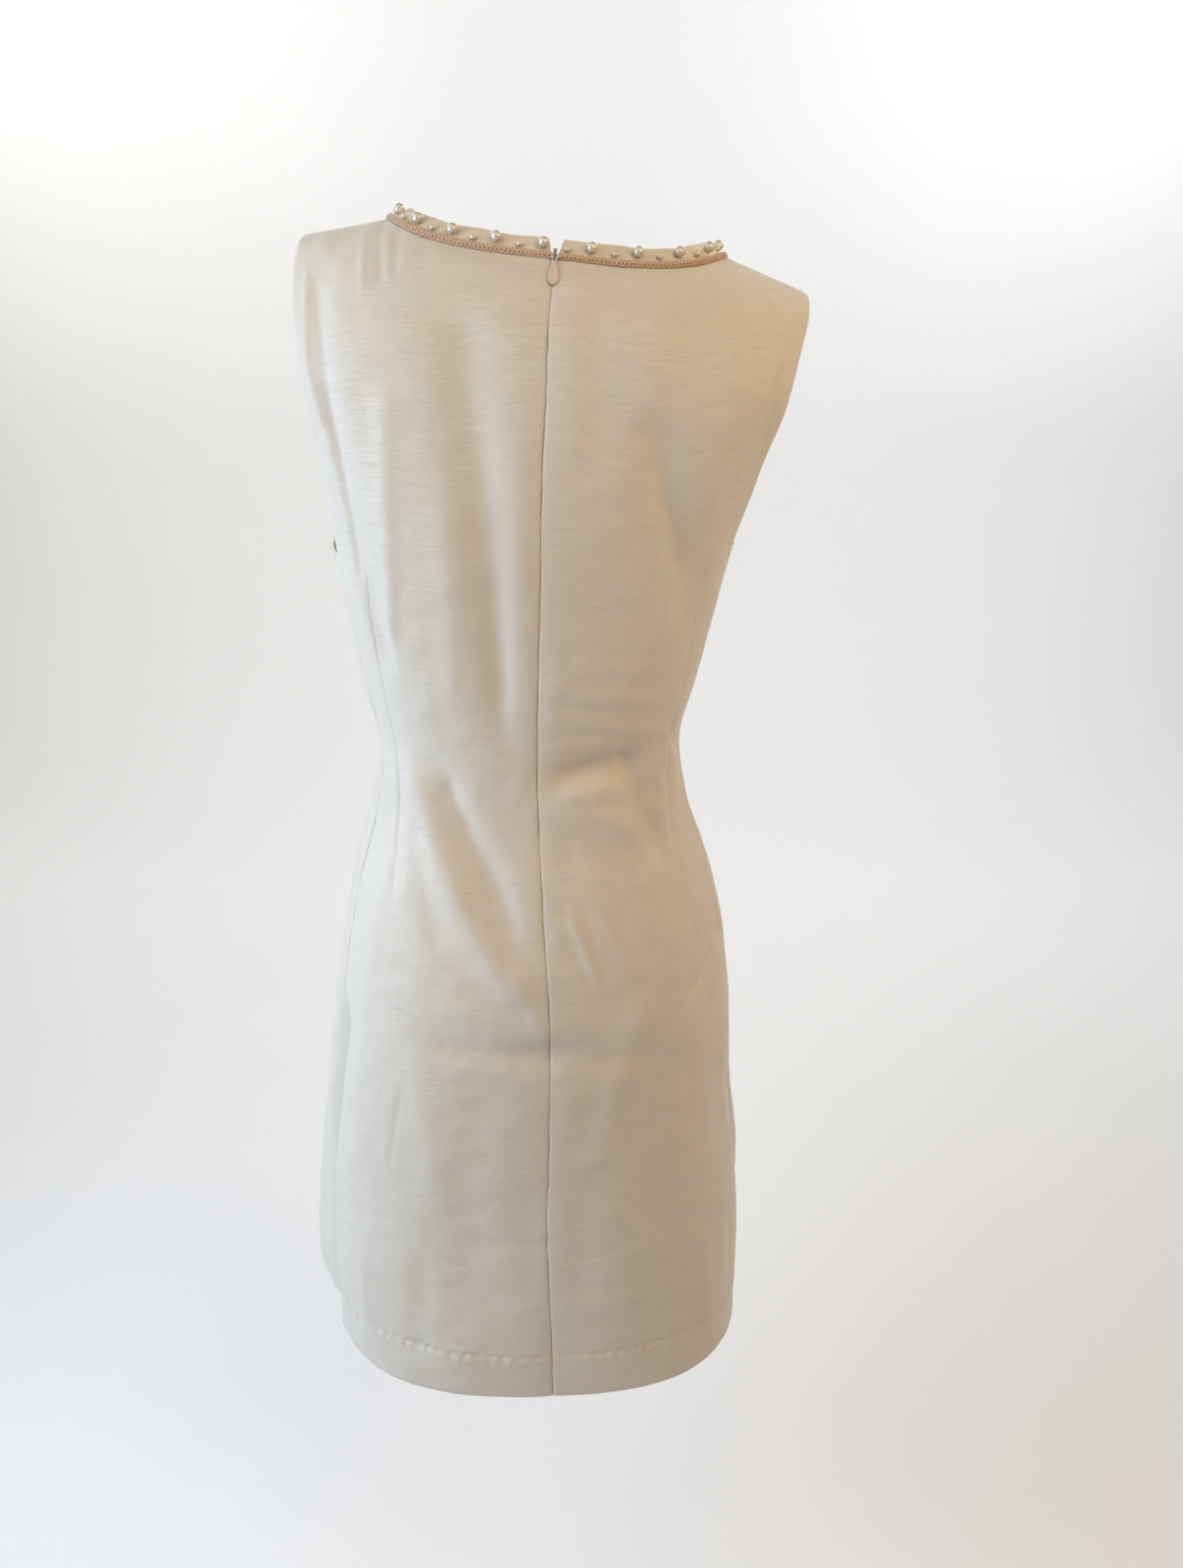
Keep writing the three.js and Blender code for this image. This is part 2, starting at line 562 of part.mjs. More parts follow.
function add(name, geometry, material, parent = dress) {
  const mesh = new THREE.Mesh(geometry, material());
  mesh.name = name;
  parent.add(mesh);
  return mesh;
}

add('front', frontPanel(), clothFinish);
add('back_left', backPanel(1), clothFinish);
add('back_right', backPanel(-1), clothFinish);
add('neck_band_back_left', bandPiece(0, LEFT_SHOULDER), bandFinish);
add('neck_band_front', bandPiece(LEFT_SHOULDER, RIGHT_SHOULDER), bandFinish);
add('neck_band_back_right', bandPiece(RIGHT_SHOULDER, neckPoints.length - 1), bandFinish);
add('neck_braid', braidGeometry(), braidFinish);

for (let k = 0; k < PEARL_COUNT; k += 1) {
  const large = k % 2 === 0;
  const size = large ? LARGE_PEARL : SMALL_PEARL;
  const distance = lerp(PEARL_MARGIN, NECK_LENGTH - PEARL_MARGIN, k / (PEARL_COUNT - 1));
  const number = String(Math.floor(k / 2) + 1).padStart(2, '0');
  const pearl = add(`${large ? 'large' : 'small'}_pearl_${number}`, pearlGeometry(size), pearlFinish);
  const up = large ? LARGE_PEARL_UP : SMALL_PEARL_UP;
  pearl.position.copy(offFrame(frameAt(bandFrames, distance), up, LIFT + size / 2));
}

add('zip_tape_left', zipTape(1), tapeFinish);
add('zip_tape_right', zipTape(-1), tapeFinish);

// The zip head sits on the upper end of the centre back seam, square to the cloth below it.
const zipHead = new THREE.Group();
const zipTop = bandFrames[0].point;
const zipUp = zipTop.clone().sub(panelPoint(PANELS.back, 1, 0, 1.7).point).normalize();
const zipAcross = bandFrames[0].along.clone().negate();
zipAcross.addScaledVector(zipUp, -zipAcross.dot(zipUp)).normalize();
zipHead.position.copy(zipTop);
zipHead.quaternion.setFromRotationMatrix(
  new THREE.Matrix4().makeBasis(zipAcross, zipUp, zipAcross.clone().cross(zipUp)));
dress.add(zipHead);
add('zip_slider', sliderGeometry(), metalFinish, zipHead);
const pull = add('zip_pull', pullGeometry(), pullFinish, zipHead);
pull.position.set(0, HINGE_UP, HINGE_OUT);
pull.rotation.x = radians(PULL_REST);

export default dress;
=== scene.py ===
"""Looks of a worn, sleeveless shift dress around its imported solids.

The cloth follows the cut of the solids: the same sections, stance and edges, with finer
folds, seams, darts and a stitched hem. Lengths in the tables are in millimetres and angles
in degrees; angle 0 is the wearer's left side and 90 the centre back.
"""
import math

import bpy
import numpy as np
from mathutils import Matrix, Vector


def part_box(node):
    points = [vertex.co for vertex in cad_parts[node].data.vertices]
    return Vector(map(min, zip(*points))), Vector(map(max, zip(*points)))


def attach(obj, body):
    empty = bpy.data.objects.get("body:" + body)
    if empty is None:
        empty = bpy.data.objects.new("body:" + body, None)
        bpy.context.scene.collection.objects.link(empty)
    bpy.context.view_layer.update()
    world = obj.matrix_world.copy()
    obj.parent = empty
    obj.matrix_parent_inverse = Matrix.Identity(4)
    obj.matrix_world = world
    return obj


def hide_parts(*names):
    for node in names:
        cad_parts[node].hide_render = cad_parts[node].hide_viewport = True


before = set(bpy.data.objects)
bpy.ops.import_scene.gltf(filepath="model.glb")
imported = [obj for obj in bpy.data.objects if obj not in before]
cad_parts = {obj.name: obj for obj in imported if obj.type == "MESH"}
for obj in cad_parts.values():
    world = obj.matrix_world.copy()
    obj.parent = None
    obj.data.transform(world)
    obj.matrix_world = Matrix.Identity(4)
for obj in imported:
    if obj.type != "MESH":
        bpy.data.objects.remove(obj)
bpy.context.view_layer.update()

MM = 0.001
UV_TURN = 6  # round a tube, its UV map grows by the angle in radians over this, in millimetres

# ---- the cut, as in the solids
HEM_Z, HEM_DEPTH, UNDERARM_Z = -909.0, 42.0, -213.0
NECK_HALF, NECK_RISE = 115.5, 10.0
SHOULDER_SLOPE, SHOULDER_ROUND = 0.28, 92.0
BACK_NECK_DROP, FRONT_NECK_DROP = 17.0, 42.0
TIP_ANGLE, NECK_ANGLE = 24.5, 55.6
BAND_HEIGHT = 14.5
BAND_GAP_BELOW, BAND_GAP_ABOVE = 2.2, 5.0
CENTRE_LEAN, SHOULDER_LEAN, BRAID_EASE = 57.0, 32.0, 9.0
FOLD_GIRTH = 140.0
ZIP_Z = -506.0

# Columns of LEVELS, then of STANCE, after z
WIDTH, BEHIND, BEFORE, SQUARENESS, SIDE_SEAM = 1, 2, 3, 4, 5
SWAY, TWIST, SEAM_TURN, TILT, DRIFT = 1, 2, 3, 4, 5

# z, half width, depth behind, depth before, squareness, angle of the side seam
LEVELS = np.array([
    (40, 190, 90, 78, 2.3, 16), (-50, 190, 93, 86, 2.3, 16), (-100, 186, 99, 102, 2.3, 16),
    (-150, 168, 102, 116, 2.3, 16), (-200, 152, 101, 125, 2.3, 16), (-250, 142, 97, 124, 2.3, 16),
    (-310, 130, 92, 108, 2.25, 16), (-363, 119.5, 87, 93, 2.2, 16), (-410, 127, 90, 95, 2.2, 16),
    (-460, 143, 105, 101, 2.2, 16), (-520, 157.5, 121, 106, 2.2, 16), (-580, 167, 128, 107, 2.2, 15),
    (-660, 175.5, 130, 108, 2.2, 12), (-740, 183, 131, 111, 2.2, 8), (-820, 185, 133, 116, 2.4, 4),
    (-909, 180, 137, 117.5, 2.65, 0)], float)
# z, sway, twist, turn of the seams, tilt, drift of the centre back seam
STANCE = np.array([
    (40, 1, 0, 0, 6, 0), (-20, 3.5, 0.4, 0, 6, 0), (-60, 8.5, 1.2, 0, 6, 0),
    (-100, 12, 2, 0, 5, 0), (-163, 18, 3.3, 0, 2.5, 0), (-227, 23, 4.5, 0.4, 0, -0.2),
    (-300, 26, 4.5, 1, 0, -0.5), (-363, 28.5, 5, 1.5, 0, -0.8), (-480, 27.5, 5, 1.6, 0, -0.8),
    (-560, 28, 5.5, 2, 0, -0.7), (-660, 32, 4.4, 3, 0, -0.6), (-780, 30, 0, 4.5, 0, -1.1),
    (-909, 27.3, 0.6, 5.3, 0, -3.4)], float)
BACK_ARMHOLE = np.array([
    (16, -213), (21, -170), (27, -128), (27.5, -91), (24.5, -60), (22, -36), (22.5, -21),
    (TIP_ANGLE, -17)])
FRONT_ARMHOLE = np.array([
    (16, -213), (-10, -200), (-30, -152), (-35, -108), (-33, -72), (-28, -42), (-25, -23),
    (-TIP_ANGLE, -17)])

# The folds that the solids have: angle, z, to angle, to z, width, rise
MAIN_FOLDS = [
    (92, -368, 122, -364, 16, -5), (124, -366, 132, -424, 15, -4), (102, -398, 116, -408, 22, 4),
    (60, -385, 87, -493, 15, -4), (43, -380, 80, -518, 17, 3.5), (114, -145, 139, -240, 26, -5),
    (107.5, -40, 107, -140, 20, 2.5), (74, -70, 83, -320, 22, -3), (38, -60, 38, -270, 14, -3),
    (147, -72, 145, -116, 13, -2.5), (158, -520, 137, -550, 13, -3), (14, -600, 0, -930, 20, -17),
    (166, -680, 180, -930, 18, -4), (-42, -772, -22, -950, 78, 51), (199, -780, 203, -950, 34, 11),
    (-62, -392, -96, -384, 16, -4), (-118, -400, -96, -500, 18, -3.5), (-140, -190, -128, -240, 16, -3)]

# Finer folds, troughs and wrinkles of the hanging cloth, in the same form.
FINE_FOLDS = [
    # over the back
    (54.2, -8, 56.6, -38, 5, -1.6), (59.8, -10, 60.2, -34, 4, -1.1), (50.5, -14, 52.5, -46, 4, 1.0),
    (66, -12, 67, -30, 5, -0.8), (118, -16, 117, -36, 6, -0.8), (101, -18, 101, -34, 6, -0.6),
    (57, -125, 45, -262, 11, 1.8), (77, -75, 81, -300, 14, -2.8), (93.5, -39, 95, -130, 9, 1.3),
    (146, -72, 146, -118, 4, -1.3), (149.5, -66, 149, -108, 5, 0.9), (111, -120, 128, -205, 13, -2.6),
    (35.6, -54, 38.5, -89, 7, -1.2), (37.8, -110, 33, -219, 7, -1.5), (31.8, -45, 33, -125, 5, 0.9),
    (128, -30, 133, -150, 15, 1.2), (126, -250, 118, -300, 14, 1.6), (70, -180, 66, -290, 14, 1.2),
    # wrinkles above the waist fold
    (93, -304, 136, -320, 3.4, 0.8), (95, -312, 142, -333, 3.0, -0.8), (93, -323, 146, -349, 3.4, 0.9),
    (96, -334, 138, -350, 2.8, -0.8), (93, -346, 128, -350, 3.2, 0.9), (100, -298, 126, -303, 3.2, -0.5),
    (112, -288, 140, -300, 3.6, 0.5), (96, -276, 112, -279, 4, -0.4),
    # the waist fold and what hangs below it
    (98, -370, 107, -364, 11, -1.6), (107, -362, 117, -360, 13, -1.8), (128, -374, 136, -386, 11, -0.8),
    (136, -390, 130, -424, 12, -1.2), (96, -357, 124, -354, 5, 1.3), (100, -381, 121, -384, 8, 1.9),
    (108, -395, 120, -418, 10, 1.6), (127, -400, 122, -440, 7, -1.0), (141, -392, 136, -440, 8, 1.6),
    (147, -345, 160, -372, 7, -1.3), (152, -366, 166, -382, 6, 0.9),
    # left of the centre back below the waist
    (60, -386, 74, -440, 12, -0.8), (74, -440, 87, -492, 11, -0.7), (48, -380, 66, -450, 12, 1.1),
    (66, -450, 81, -520, 12, 1.1), (50, -418, 59, -488, 12, -0.9), (41, -392, 46, -452, 8, 0.9),
    (34, -380, 40, -462, 6, -0.8), (84, -520, 88, -560, 7, 0.9),
    # right of the centre back, at the end of the zip
    (93, -478, 100, -524, 4.5, -0.8), (96.5, -474, 101.5, -520, 4.2, 0.9), (100, -469, 104, -518, 4.5, -0.7),
    (106, -478, 110, -512, 6, 0.8), (88.4, -500, 90.4, -516, 3.2, 0.8),
    # under the seat
    (64, -572, 88, -584, 15, -2.6), (90, -578, 113, -592, 15, -2.4), (112, -560, 100, -676, 14, 1.9),
    (70, -548, 84, -556, 14, 1.3), (96, -552, 112, -560, 14, 1.3), (50.4, -625, 48, -690, 3.4, -0.35),
    (47, -628, 45, -686, 6, 0.35), (56, -600, 62, -700, 15, 1.2), (74, -620, 72, -800, 20, -1.8),
    (101, -640, 96, -800, 16, -1.4), (120, -600, 127, -780, 22, 1.4), (141, -560, 150, -700, 16, -1.0),
    (158, -520, 136, -550, 5, -1.8), (155, -530, 138, -560, 7, 1.2), (165, -455, 160, -500, 8, 1.0),
    (34, -480, 31, -560, 12, 1.0), (27, -560, 24, -700, 12, -1.2),
    # pressed marks and ripples near the hem
    (98, -777, 111, -768, 3, 0.9), (78, -757, 90, -755, 9, -1.0), (101, -770, 109, -766, 4, -0.6),
    (60, -790, 58, -866, 12, -1.2), (84, -820, 83, -868, 11, 0.9), (112, -800, 114, -866, 12, -1.1),
    (136, -790, 137, -868, 12, 1.1), (37, -800, 36, -866, 10, 1.1), (152, -800, 153, -868, 9, -1.0),
    # the front, like the back
    (-62, -372, -92, -366, 6, -2.2), (-92, -366, -112, -372, 7, -2.0), (-70, -384, -100, -380, 9, 1.6),
    (-66, -356, -106, -350, 5, 1.0), (-58, -340, -84, -334, 4, -0.8), (-96, -338, -122, -346, 4, 0.8),
    (-120, -392, -100, -470, 8, -2.0), (-128, -386, -112, -462, 9, 1.6), (-52, -396, -66, -470, 8, -1.6),
    (-44, -400, -56, -480, 9, 1.4), (-76, -560, -100, -566, 16, -1.6), (-60, -600, -56, -760, 18, -1.5),
    (-104, -600, -110, -780, 18, 1.5), (-84, -620, -82, -800, 20, 1.3), (-132, -620, -128, -760, 16, -1.3),
    (-38, -640, -44, -780, 14, 1.2), (-152, -540, -136, -566, 6, -1.6), (-34, -500, -46, -540, 7, -1.5),
    (-62, -70, -66, -150, 9, -1.2), (-118, -76, -112, -160, 9, -1.2), (-90, -70, -90, -140, 12, 0.9),
    (-36, -225, -52, -245, 9, -1.8), (-144, -225, -128, -245, 9, -1.8), (-48, -262, -60, -330, 10, 1.3),
    (-132, -262, -120, -330, 10, 1.3), (-70, -820, -72, -868, 12, 1.0), (-108, -820, -106, -868, 12, -1.0)]

# Stitched darts of one side: points along the line, depth at the middle
SIDE_DARTS = [
    # at the back's waist, at the front's waist and at the bust
    ([(37.5, -205), (34.6, -250), (33.4, -285), (31.4, -330), (32.6, -372), (34.4, -395),
      (38, -440), (41, -470)], 0.8),
    ([(-47, -235), (-50, -290), (-52, -345), (-53, -372), (-52, -400), (-50, -460)], 0.8),
    ([(14, -246), (-8, -240), (-30, -228), (-46, -216)], 0.9)]
# The other side has the same darts, mirrored.
DARTS = SIDE_DARTS + [([(180 - angle, z) for angle, z in line], most) for line, most in SIDE_DARTS]


def column(table, which, z):
    """Smooth reading of one column of a table whose rows go down in z."""
    heights, values = table[:, 0], table[:, which]
    z = np.clip(z, heights[-1], heights[0])
    i = np.clip(np.searchsorted(-heights, -z, side="right") - 1, 0, len(heights) - 2)
    steps = np.diff(heights)
    slopes = np.diff(values) / steps
    tangents = np.empty(len(heights))
    tangents[0], tangents[-1] = slopes[0], slopes[-1]
    tangents[1:-1] = (slopes[:-1] * steps[1:] + slopes[1:] * steps[:-1]) / (steps[:-1] + steps[1:])
    t = (z - heights[i]) / steps[i]
    eased = values[i] + (values[i + 1] - values[i]) * t * t * (3 - 2 * t)
    return eased + t * (1 - t) ** 2 * steps[i] * tangents[i] + t * t * (t - 1) * steps[i] * tangents[i + 1]


def along_armhole(table, fraction):
    """Catmull-Rom reading of an armhole table: angle and z at a fraction of it."""
    place = np.clip(fraction, 0, 1) * (len(table) - 1)
    i = np.minimum(np.floor(place).astype(int), len(table) - 2)
    t = (place - i)[..., None]
    p = [table[np.clip(i + k, 0, len(table) - 1)] for k in (-1, 0, 1, 2)]
    cubic = (3 * (p[1] - p[2]) + p[3] - p[0]) * t + (2 * p[0] - 5 * p[1] + 4 * p[2] - p[3])
    row = p[1] + 0.5 * t * (p[2] - p[0] + t * cubic)
    return row[..., 0], row[..., 1]


def carried_line(x):
    """Height of the line that the shoulders carry, at a distance from the middle."""
    out = np.abs(x)
    arch = NECK_RISE * (1 - (out / NECK_HALF) ** 2)
    return np.where(out < NECK_HALF, arch, -(out - NECK_HALF) * SHOULDER_SLOPE)


def turn_to(angle, start):
    """Turn from a start to an angle, the short way round."""
    turn = angle - start
    return turn - 360 * np.round(turn / 360)


def fold_rise(angle, z, folds):
    """How far the folds push the cloth out."""
    rise = np.zeros(np.broadcast(angle, z).shape)
    for a, top, to_a, to_z, width, height in folds:
        across, down = math.radians(to_a - a) * FOLD_GIRTH, to_z - top
        length = math.hypot(across, down)
        px, pz = np.radians(turn_to(angle, a)) * FOLD_GIRTH, z - top
        along = (px * across + pz * down) / length
        off = np.abs(px * down - pz * across) / length
        past = np.maximum(0, np.maximum(-along, along - length))
        rise += height * np.exp(-1.6 * ((off / width) ** 2 + (past / (1.6 * width)) ** 2))
    return rise


def skin(angle, z, rise):
    """Point of the dress in its stance, pushed out by a rise."""
    turned = np.radians(angle + column(STANCE, SEAM_TURN, z))
    power = 2 / column(LEVELS, SQUARENESS, z)
    sine, cosine = np.sin(turned), np.cos(turned)
    width = column(LEVELS, WIDTH, z) + rise
    depth = np.where(sine > 0, column(LEVELS, BEHIND, z), column(LEVELS, BEFORE, z)) + rise
    x = width * np.sign(cosine) * np.abs(cosine) ** power
    closed = np.clip((carried_line(x) - z) / SHOULDER_ROUND, 0, 1)
    y = depth * np.sign(sine) * np.abs(sine) ** power * np.sqrt(1 - (1 - closed) ** 2)
    tilt, twist = np.radians(column(STANCE, TILT, z)), np.radians(column(STANCE, TWIST, z))
    level = x * np.cos(tilt)
    return np.stack([
        level * np.cos(twist) - y * np.sin(twist) + column(STANCE, SWAY, z),
        level * np.sin(twist) + y * np.cos(twist),
        z + x * np.sin(tilt)], -1)


# ---- panels as fine grids
NECK_ACROSS = (90 - NECK_ANGLE) / (90 - TIP_ANGLE)
BACK = {"centre": 90, "armhole": BACK_ARMHOLE, "drop": BACK_NECK_DROP}
FRONT = {"centre": -90, "armhole": FRONT_ARMHOLE, "drop": FRONT_NECK_DROP}


def upper_edge(panel, across):
    """Height of a panel's top: the neckline, then the shoulder seam."""
    neck = -panel["drop"] * (1 - np.minimum(across / NECK_ACROSS, 1) ** 3)
    angle = np.radians(90 + (TIP_ANGLE - 90) * across)
    shoulder = carried_line(column(LEVELS, WIDTH, 0.0) * np.cos(angle) ** (2 / LEVELS[0, SQUARENESS]))
    return np.where(across <= NECK_ACROSS, neck, shoulder)


def panel_place(panel, across, up):
    """Angle and height of a place on a panel: up 0 is the hem, 1 the underarm, 2 the top."""
    low_z = HEM_Z + (UNDERARM_Z - HEM_Z) * np.minimum(up, 1)
    low_angle = panel["centre"] + (column(LEVELS, SIDE_SEAM, low_z) - panel["centre"]) * across
    rise = np.clip(up - 1, 0, 1)
    edge_angle, edge_z = along_armhole(panel["armhole"], rise)
    angle = panel["centre"] + (edge_angle - panel["centre"]) * across
    centre_z = UNDERARM_Z + (-panel["drop"] - UNDERARM_Z) * np.sin(rise * math.pi / 2)
    sideways = across * across
    tip_z = panel["armhole"][-1, 1]
    correction = upper_edge(panel, across) - (-panel["drop"] + (tip_z + panel["drop"]) * sideways)
    high_z = centre_z + (edge_z - centre_z) * sideways + rise ** 3 * correction
    low = up <= 1
    return np.where(low, low_angle, angle), np.where(low, low_z, high_z)


def cross_steps(steps):
    """Places across a panel, finer at the centre seam and at the side."""
    neck_steps = round(steps * 0.5)
    start = np.linspace(0, 1, neck_steps + 1)
    start = start ** 1.16 * NECK_ACROSS
    rest = np.linspace(0, 1, steps - neck_steps + 1)[1:]
    rest = 1 - (1 - rest) ** 1.12
    return np.concatenate([start, NECK_ACROSS + (1 - NECK_ACROSS) * rest])


def up_steps(low, high):
    """Places up a panel: below the underarm, with finer steps at the hem, and above it."""
    hem = HEM_DEPTH / (UNDERARM_Z - HEM_Z)
    hem_steps = round(low * 0.11)
    below = np.linspace(0, hem * 1.25, hem_steps + 1)
    middle = np.linspace(hem * 1.25, 1, low - hem_steps + 1)[1:]
    above = 1 + np.linspace(0, 1, high + 1)[1:]
    return np.concatenate([below, middle, above])


LATTICE, LATTICE_START = (97, 89), 400


def noise_field(first, second, wave, seed):
    """Soft random field over two lengths in millimetres, from a seeded lattice."""
    table = np.random.default_rng(seed).normal(size=LATTICE)
    u, v = first / wave + LATTICE_START, second / wave + LATTICE_START
    i, j = np.floor(u).astype(int), np.floor(v).astype(int)
    s, t = u - i, v - j
    s, t = s * s * (3 - 2 * s), t * t * (3 - 2 * t)
    pick = lambda a, b: table[a % LATTICE[0], b % LATTICE[1]]
    low = pick(i, j) * (1 - s) + pick(i + 1, j) * s
    high = pick(i, j + 1) * (1 - s) + pick(i + 1, j + 1) * s
    return low * (1 - t) + high * t


def dart_depth(angle, z):
    """Stitched line of each dart, deepest at the middle and gone at its points."""
    depth = np.zeros(angle.shape)
    for line, most in DARTS:
        points = np.array(line, float)
        steps = np.hypot(np.radians(np.diff(points[:, 0])) * FOLD_GIRTH, np.diff(points[:, 1]))
        reach = np.concatenate([[0], np.cumsum(steps)])
        for k in range(len(points) - 1):
            across = math.radians(points[k + 1, 0] - points[k, 0]) * FOLD_GIRTH
            down = points[k + 1, 1] - points[k, 1]
            px, pz = np.radians(turn_to(angle, points[k, 0])) * FOLD_GIRTH, z - points[k, 1]
            share = np.clip((px * across + pz * down) / steps[k] ** 2, 0, 1)
            off = np.hypot(px - share * across, pz - share * down)
            fade = np.sin(math.pi * np.clip((reach[k] + share * steps[k]) / reach[-1], 0, 1)) ** 0.7
            line_depth = most * fade * (0.75 * np.exp(-(off / 1.3) ** 2) + 0.4 * np.exp(-(off / 6) ** 2))
            depth = np.maximum(depth, line_depth)
    return depth


def lengths(grid, axis):
    """Distance along one axis of a grid of points, from its start."""
    steps = np.linalg.norm(np.diff(grid, axis=axis), axis=-1)
    start = np.zeros_like(np.take(steps, [0], axis=axis))
    return np.concatenate([start, np.cumsum(steps, axis=axis)], axis=axis)


def normals_of(grid, outwards):
    """Unit normals of a grid of points, on the side that the given ways point to."""
    rows, columns = np.gradient(grid, axis=0), np.gradient(grid, axis=1)
    normal = np.cross(columns, rows)
    normal /= np.maximum(np.linalg.norm(normal, axis=-1, keepdims=True), 1e-9)
    return normal * np.sign((normal * outwards).sum())


def fading(distance, softness):
    """1 well before a border, a half on it and 0 well past it."""
    return 1 / (1 + np.exp(np.minimum(distance / softness, 60)))


STITCH_STEP, MOST_STITCHES = (7.0, 10.5), 160
HEM_LINE, HEM_DIMPLE, HEM_PUFF, HEM_LEAN, HEM_DOUBLED = 0.85, 1.3, 0.8, 0.6, 0.55


def hem_relief(along, height, seed):
    """Blind-stitched hem: a shallow line with a dimple at each stitch and small puckers."""
    rng = np.random.default_rng(seed)
    stitches = np.cumsum(rng.uniform(*STITCH_STEP, MOST_STITCHES)) + along.min()
    drift = rng.normal(0, 0.7, MOST_STITCHES)
    deep = rng.uniform(0.35, 1.0, MOST_STITCHES)
    above = height - HEM_DEPTH
    relief = -HEM_LINE * np.exp(-(above / 1.5) ** 2)
    for place, off, amount in zip(stitches, drift, deep):
        if place > along.max():
            break
        near = np.exp(-((along - place) / 1.7) ** 2)
        relief -= HEM_DIMPLE * amount * near * np.exp(-((above - off) / 1.9) ** 2)
        relief += HEM_PUFF * amount * near * np.exp(-((above - off - 3.6) / 2.4) ** 2)
        lean = np.exp(-((along - place - 4) / 2.2) ** 2)
        relief += HEM_LEAN * amount * lean * np.exp(-((above + 3.5) / 4.0) ** 2)
    return relief + HEM_DOUBLED * fading(above, 0.9)


def edge_roll(distance, radius, depth):
    """Turned edge: the cloth curls in over its last few millimetres."""
    t = np.clip(1 - distance / radius, 0, 1)
    return -depth * t * t


# The cloth over the zip tapes: where it is held beside and below the zip and how softly that
# ends, how much fine and main troughs are held back, and how far it stands clear
TAPE_REACH, TAPE_SIDE_FADE = 18.5, 3.6
TAPE_BELOW, TAPE_END_FADE = 14.0, 5.0
TAPE_HOLD, MAIN_HOLD, TAPE_EASE = 0.92, 0.8, 0.35
# Turned edges: how far in the curl starts, and how deep it goes
TOP_ROLL, HEM_ROLL, ARMHOLE_ROLL = (2.2, 0.5), (2.5, 0.8), (3.0, 0.9)
# The cloth's unevenness: height, length of a wave, how many times shorter it is down the dress
UNEVENNESS = [(0.9, 62, 1.0), (0.28, 21, 1.7), (0.10, 8.5, 1.0)]


def over_tapes(angle, z):
    """1 where a zip tape lies under the cloth, 0 away from the zip."""
    turned = np.radians(angle + column(STANCE, SEAM_TURN, z))
    aside = column(LEVELS, WIDTH, z) * np.abs(np.cos(turned)) ** (2 / column(LEVELS, SQUARENESS, z))
    beside = fading(aside - TAPE_REACH, TAPE_SIDE_FADE)
    return beside * fading(ZIP_Z - TAPE_BELOW - z, TAPE_END_FADE) * (np.sin(turned) > 0)


def held_back(values, share):
    """Makes what goes in shallower by a share, and leaves what stands out as it is."""
    return np.where(values < 0, values * (1 - share), values)


def panel_grid(panel, sides, steps, rows, seed):
    """Points of a panel's surface in millimetres before its relief, with that relief, its normals and its
    lengths across and up it.
    """
    across, up = np.meshgrid(cross_steps(steps), up_steps(*rows))
    angle, z = panel_place(panel, across, up)
    if len(sides) == 2:
        angle = np.concatenate([(-180 - angle)[:, ::-1], angle[:, 1:]], axis=1)
        z = np.concatenate([z[:, ::-1], z[:, 1:]], axis=1)
    else:
        angle = angle if sides[0] > 0 else 180 - angle
        angle = angle + column(STANCE, DRIFT, z) * (1 - across)
    taped = over_tapes(angle, z)
    rise = held_back(fold_rise(angle, z, MAIN_FOLDS), MAIN_HOLD * taped)
    rise = rise + held_back(fold_rise(angle, z, FINE_FOLDS), TAPE_HOLD * taped)
    base = skin(angle, z, rise)
    girth = np.radians(angle) * FOLD_GIRTH
    soft = np.zeros(z.shape)
    for k, (amount, wave, stretch) in enumerate(UNEVENNESS):
        soft += amount * noise_field(girth, z * stretch, wave, seed + k)
    axis_point = np.stack([column(STANCE, SWAY, z), 0 * z, z], -1)
    normal = normals_of(base, base - axis_point)
    row_length, height = lengths(base, 1), lengths(base, 0)
    top = height[-1:] - height
    start, end = row_length, row_length[:, -1:] - row_length
    calm = 1 - np.exp(-(np.minimum(start, end) / 9) ** 2)
    relief = soft * np.clip(calm, 0.15, 1) * (1 - np.exp(-(top / 10) ** 2)) - dart_depth(angle, z)
    relief = relief + hem_relief(row_length.mean(axis=0)[None, :] + 0 * row_length, height, seed + 5)
    relief = held_back(relief, TAPE_HOLD * taped) + TAPE_EASE * taped
    relief += edge_roll(top, *TOP_ROLL) + edge_roll(height, *HEM_ROLL)
    return {"angle": angle, "z": z, "base": base, "normal": normal, "start": start, "end": end,
            "height": height, "top": top, "relief": relief}


def seam_groove(distance, z, depth, seed):
    """A sewn seam: a sharp line, a soft dip beside it and uneven pull along it."""
    pull = 1 + 0.35 * noise_field(z, 0 * z, 17, seed) + 0.25 * noise_field(z, 0 * z, 6, seed + 1)
    sharp = np.exp(-(distance / 0.85) ** 2)
    soft = np.exp(-(distance / 4.5) ** 2)
    pucker = 0.12 * noise_field(z, distance * 0.6, 7, seed + 2) * np.exp(-(distance / 8) ** 2)
    return -depth * sharp * np.clip(pull, 0.5, 1.5) - 0.35 * depth * soft + pucker


def placed(name, data):
    """A new object in the scene."""
    made = bpy.data.objects.new(name, data)
    bpy.context.scene.collection.objects.link(made)
    return made


def smooth_mesh(name, points, faces):
    """A mesh from points in metres, shaded smooth."""
    mesh = bpy.data.meshes.new(name)
    mesh.from_pydata(points, [], faces)
    mesh.polygons.foreach_set("use_smooth", np.ones(len(mesh.polygons), bool))
    mesh.update()
    return mesh


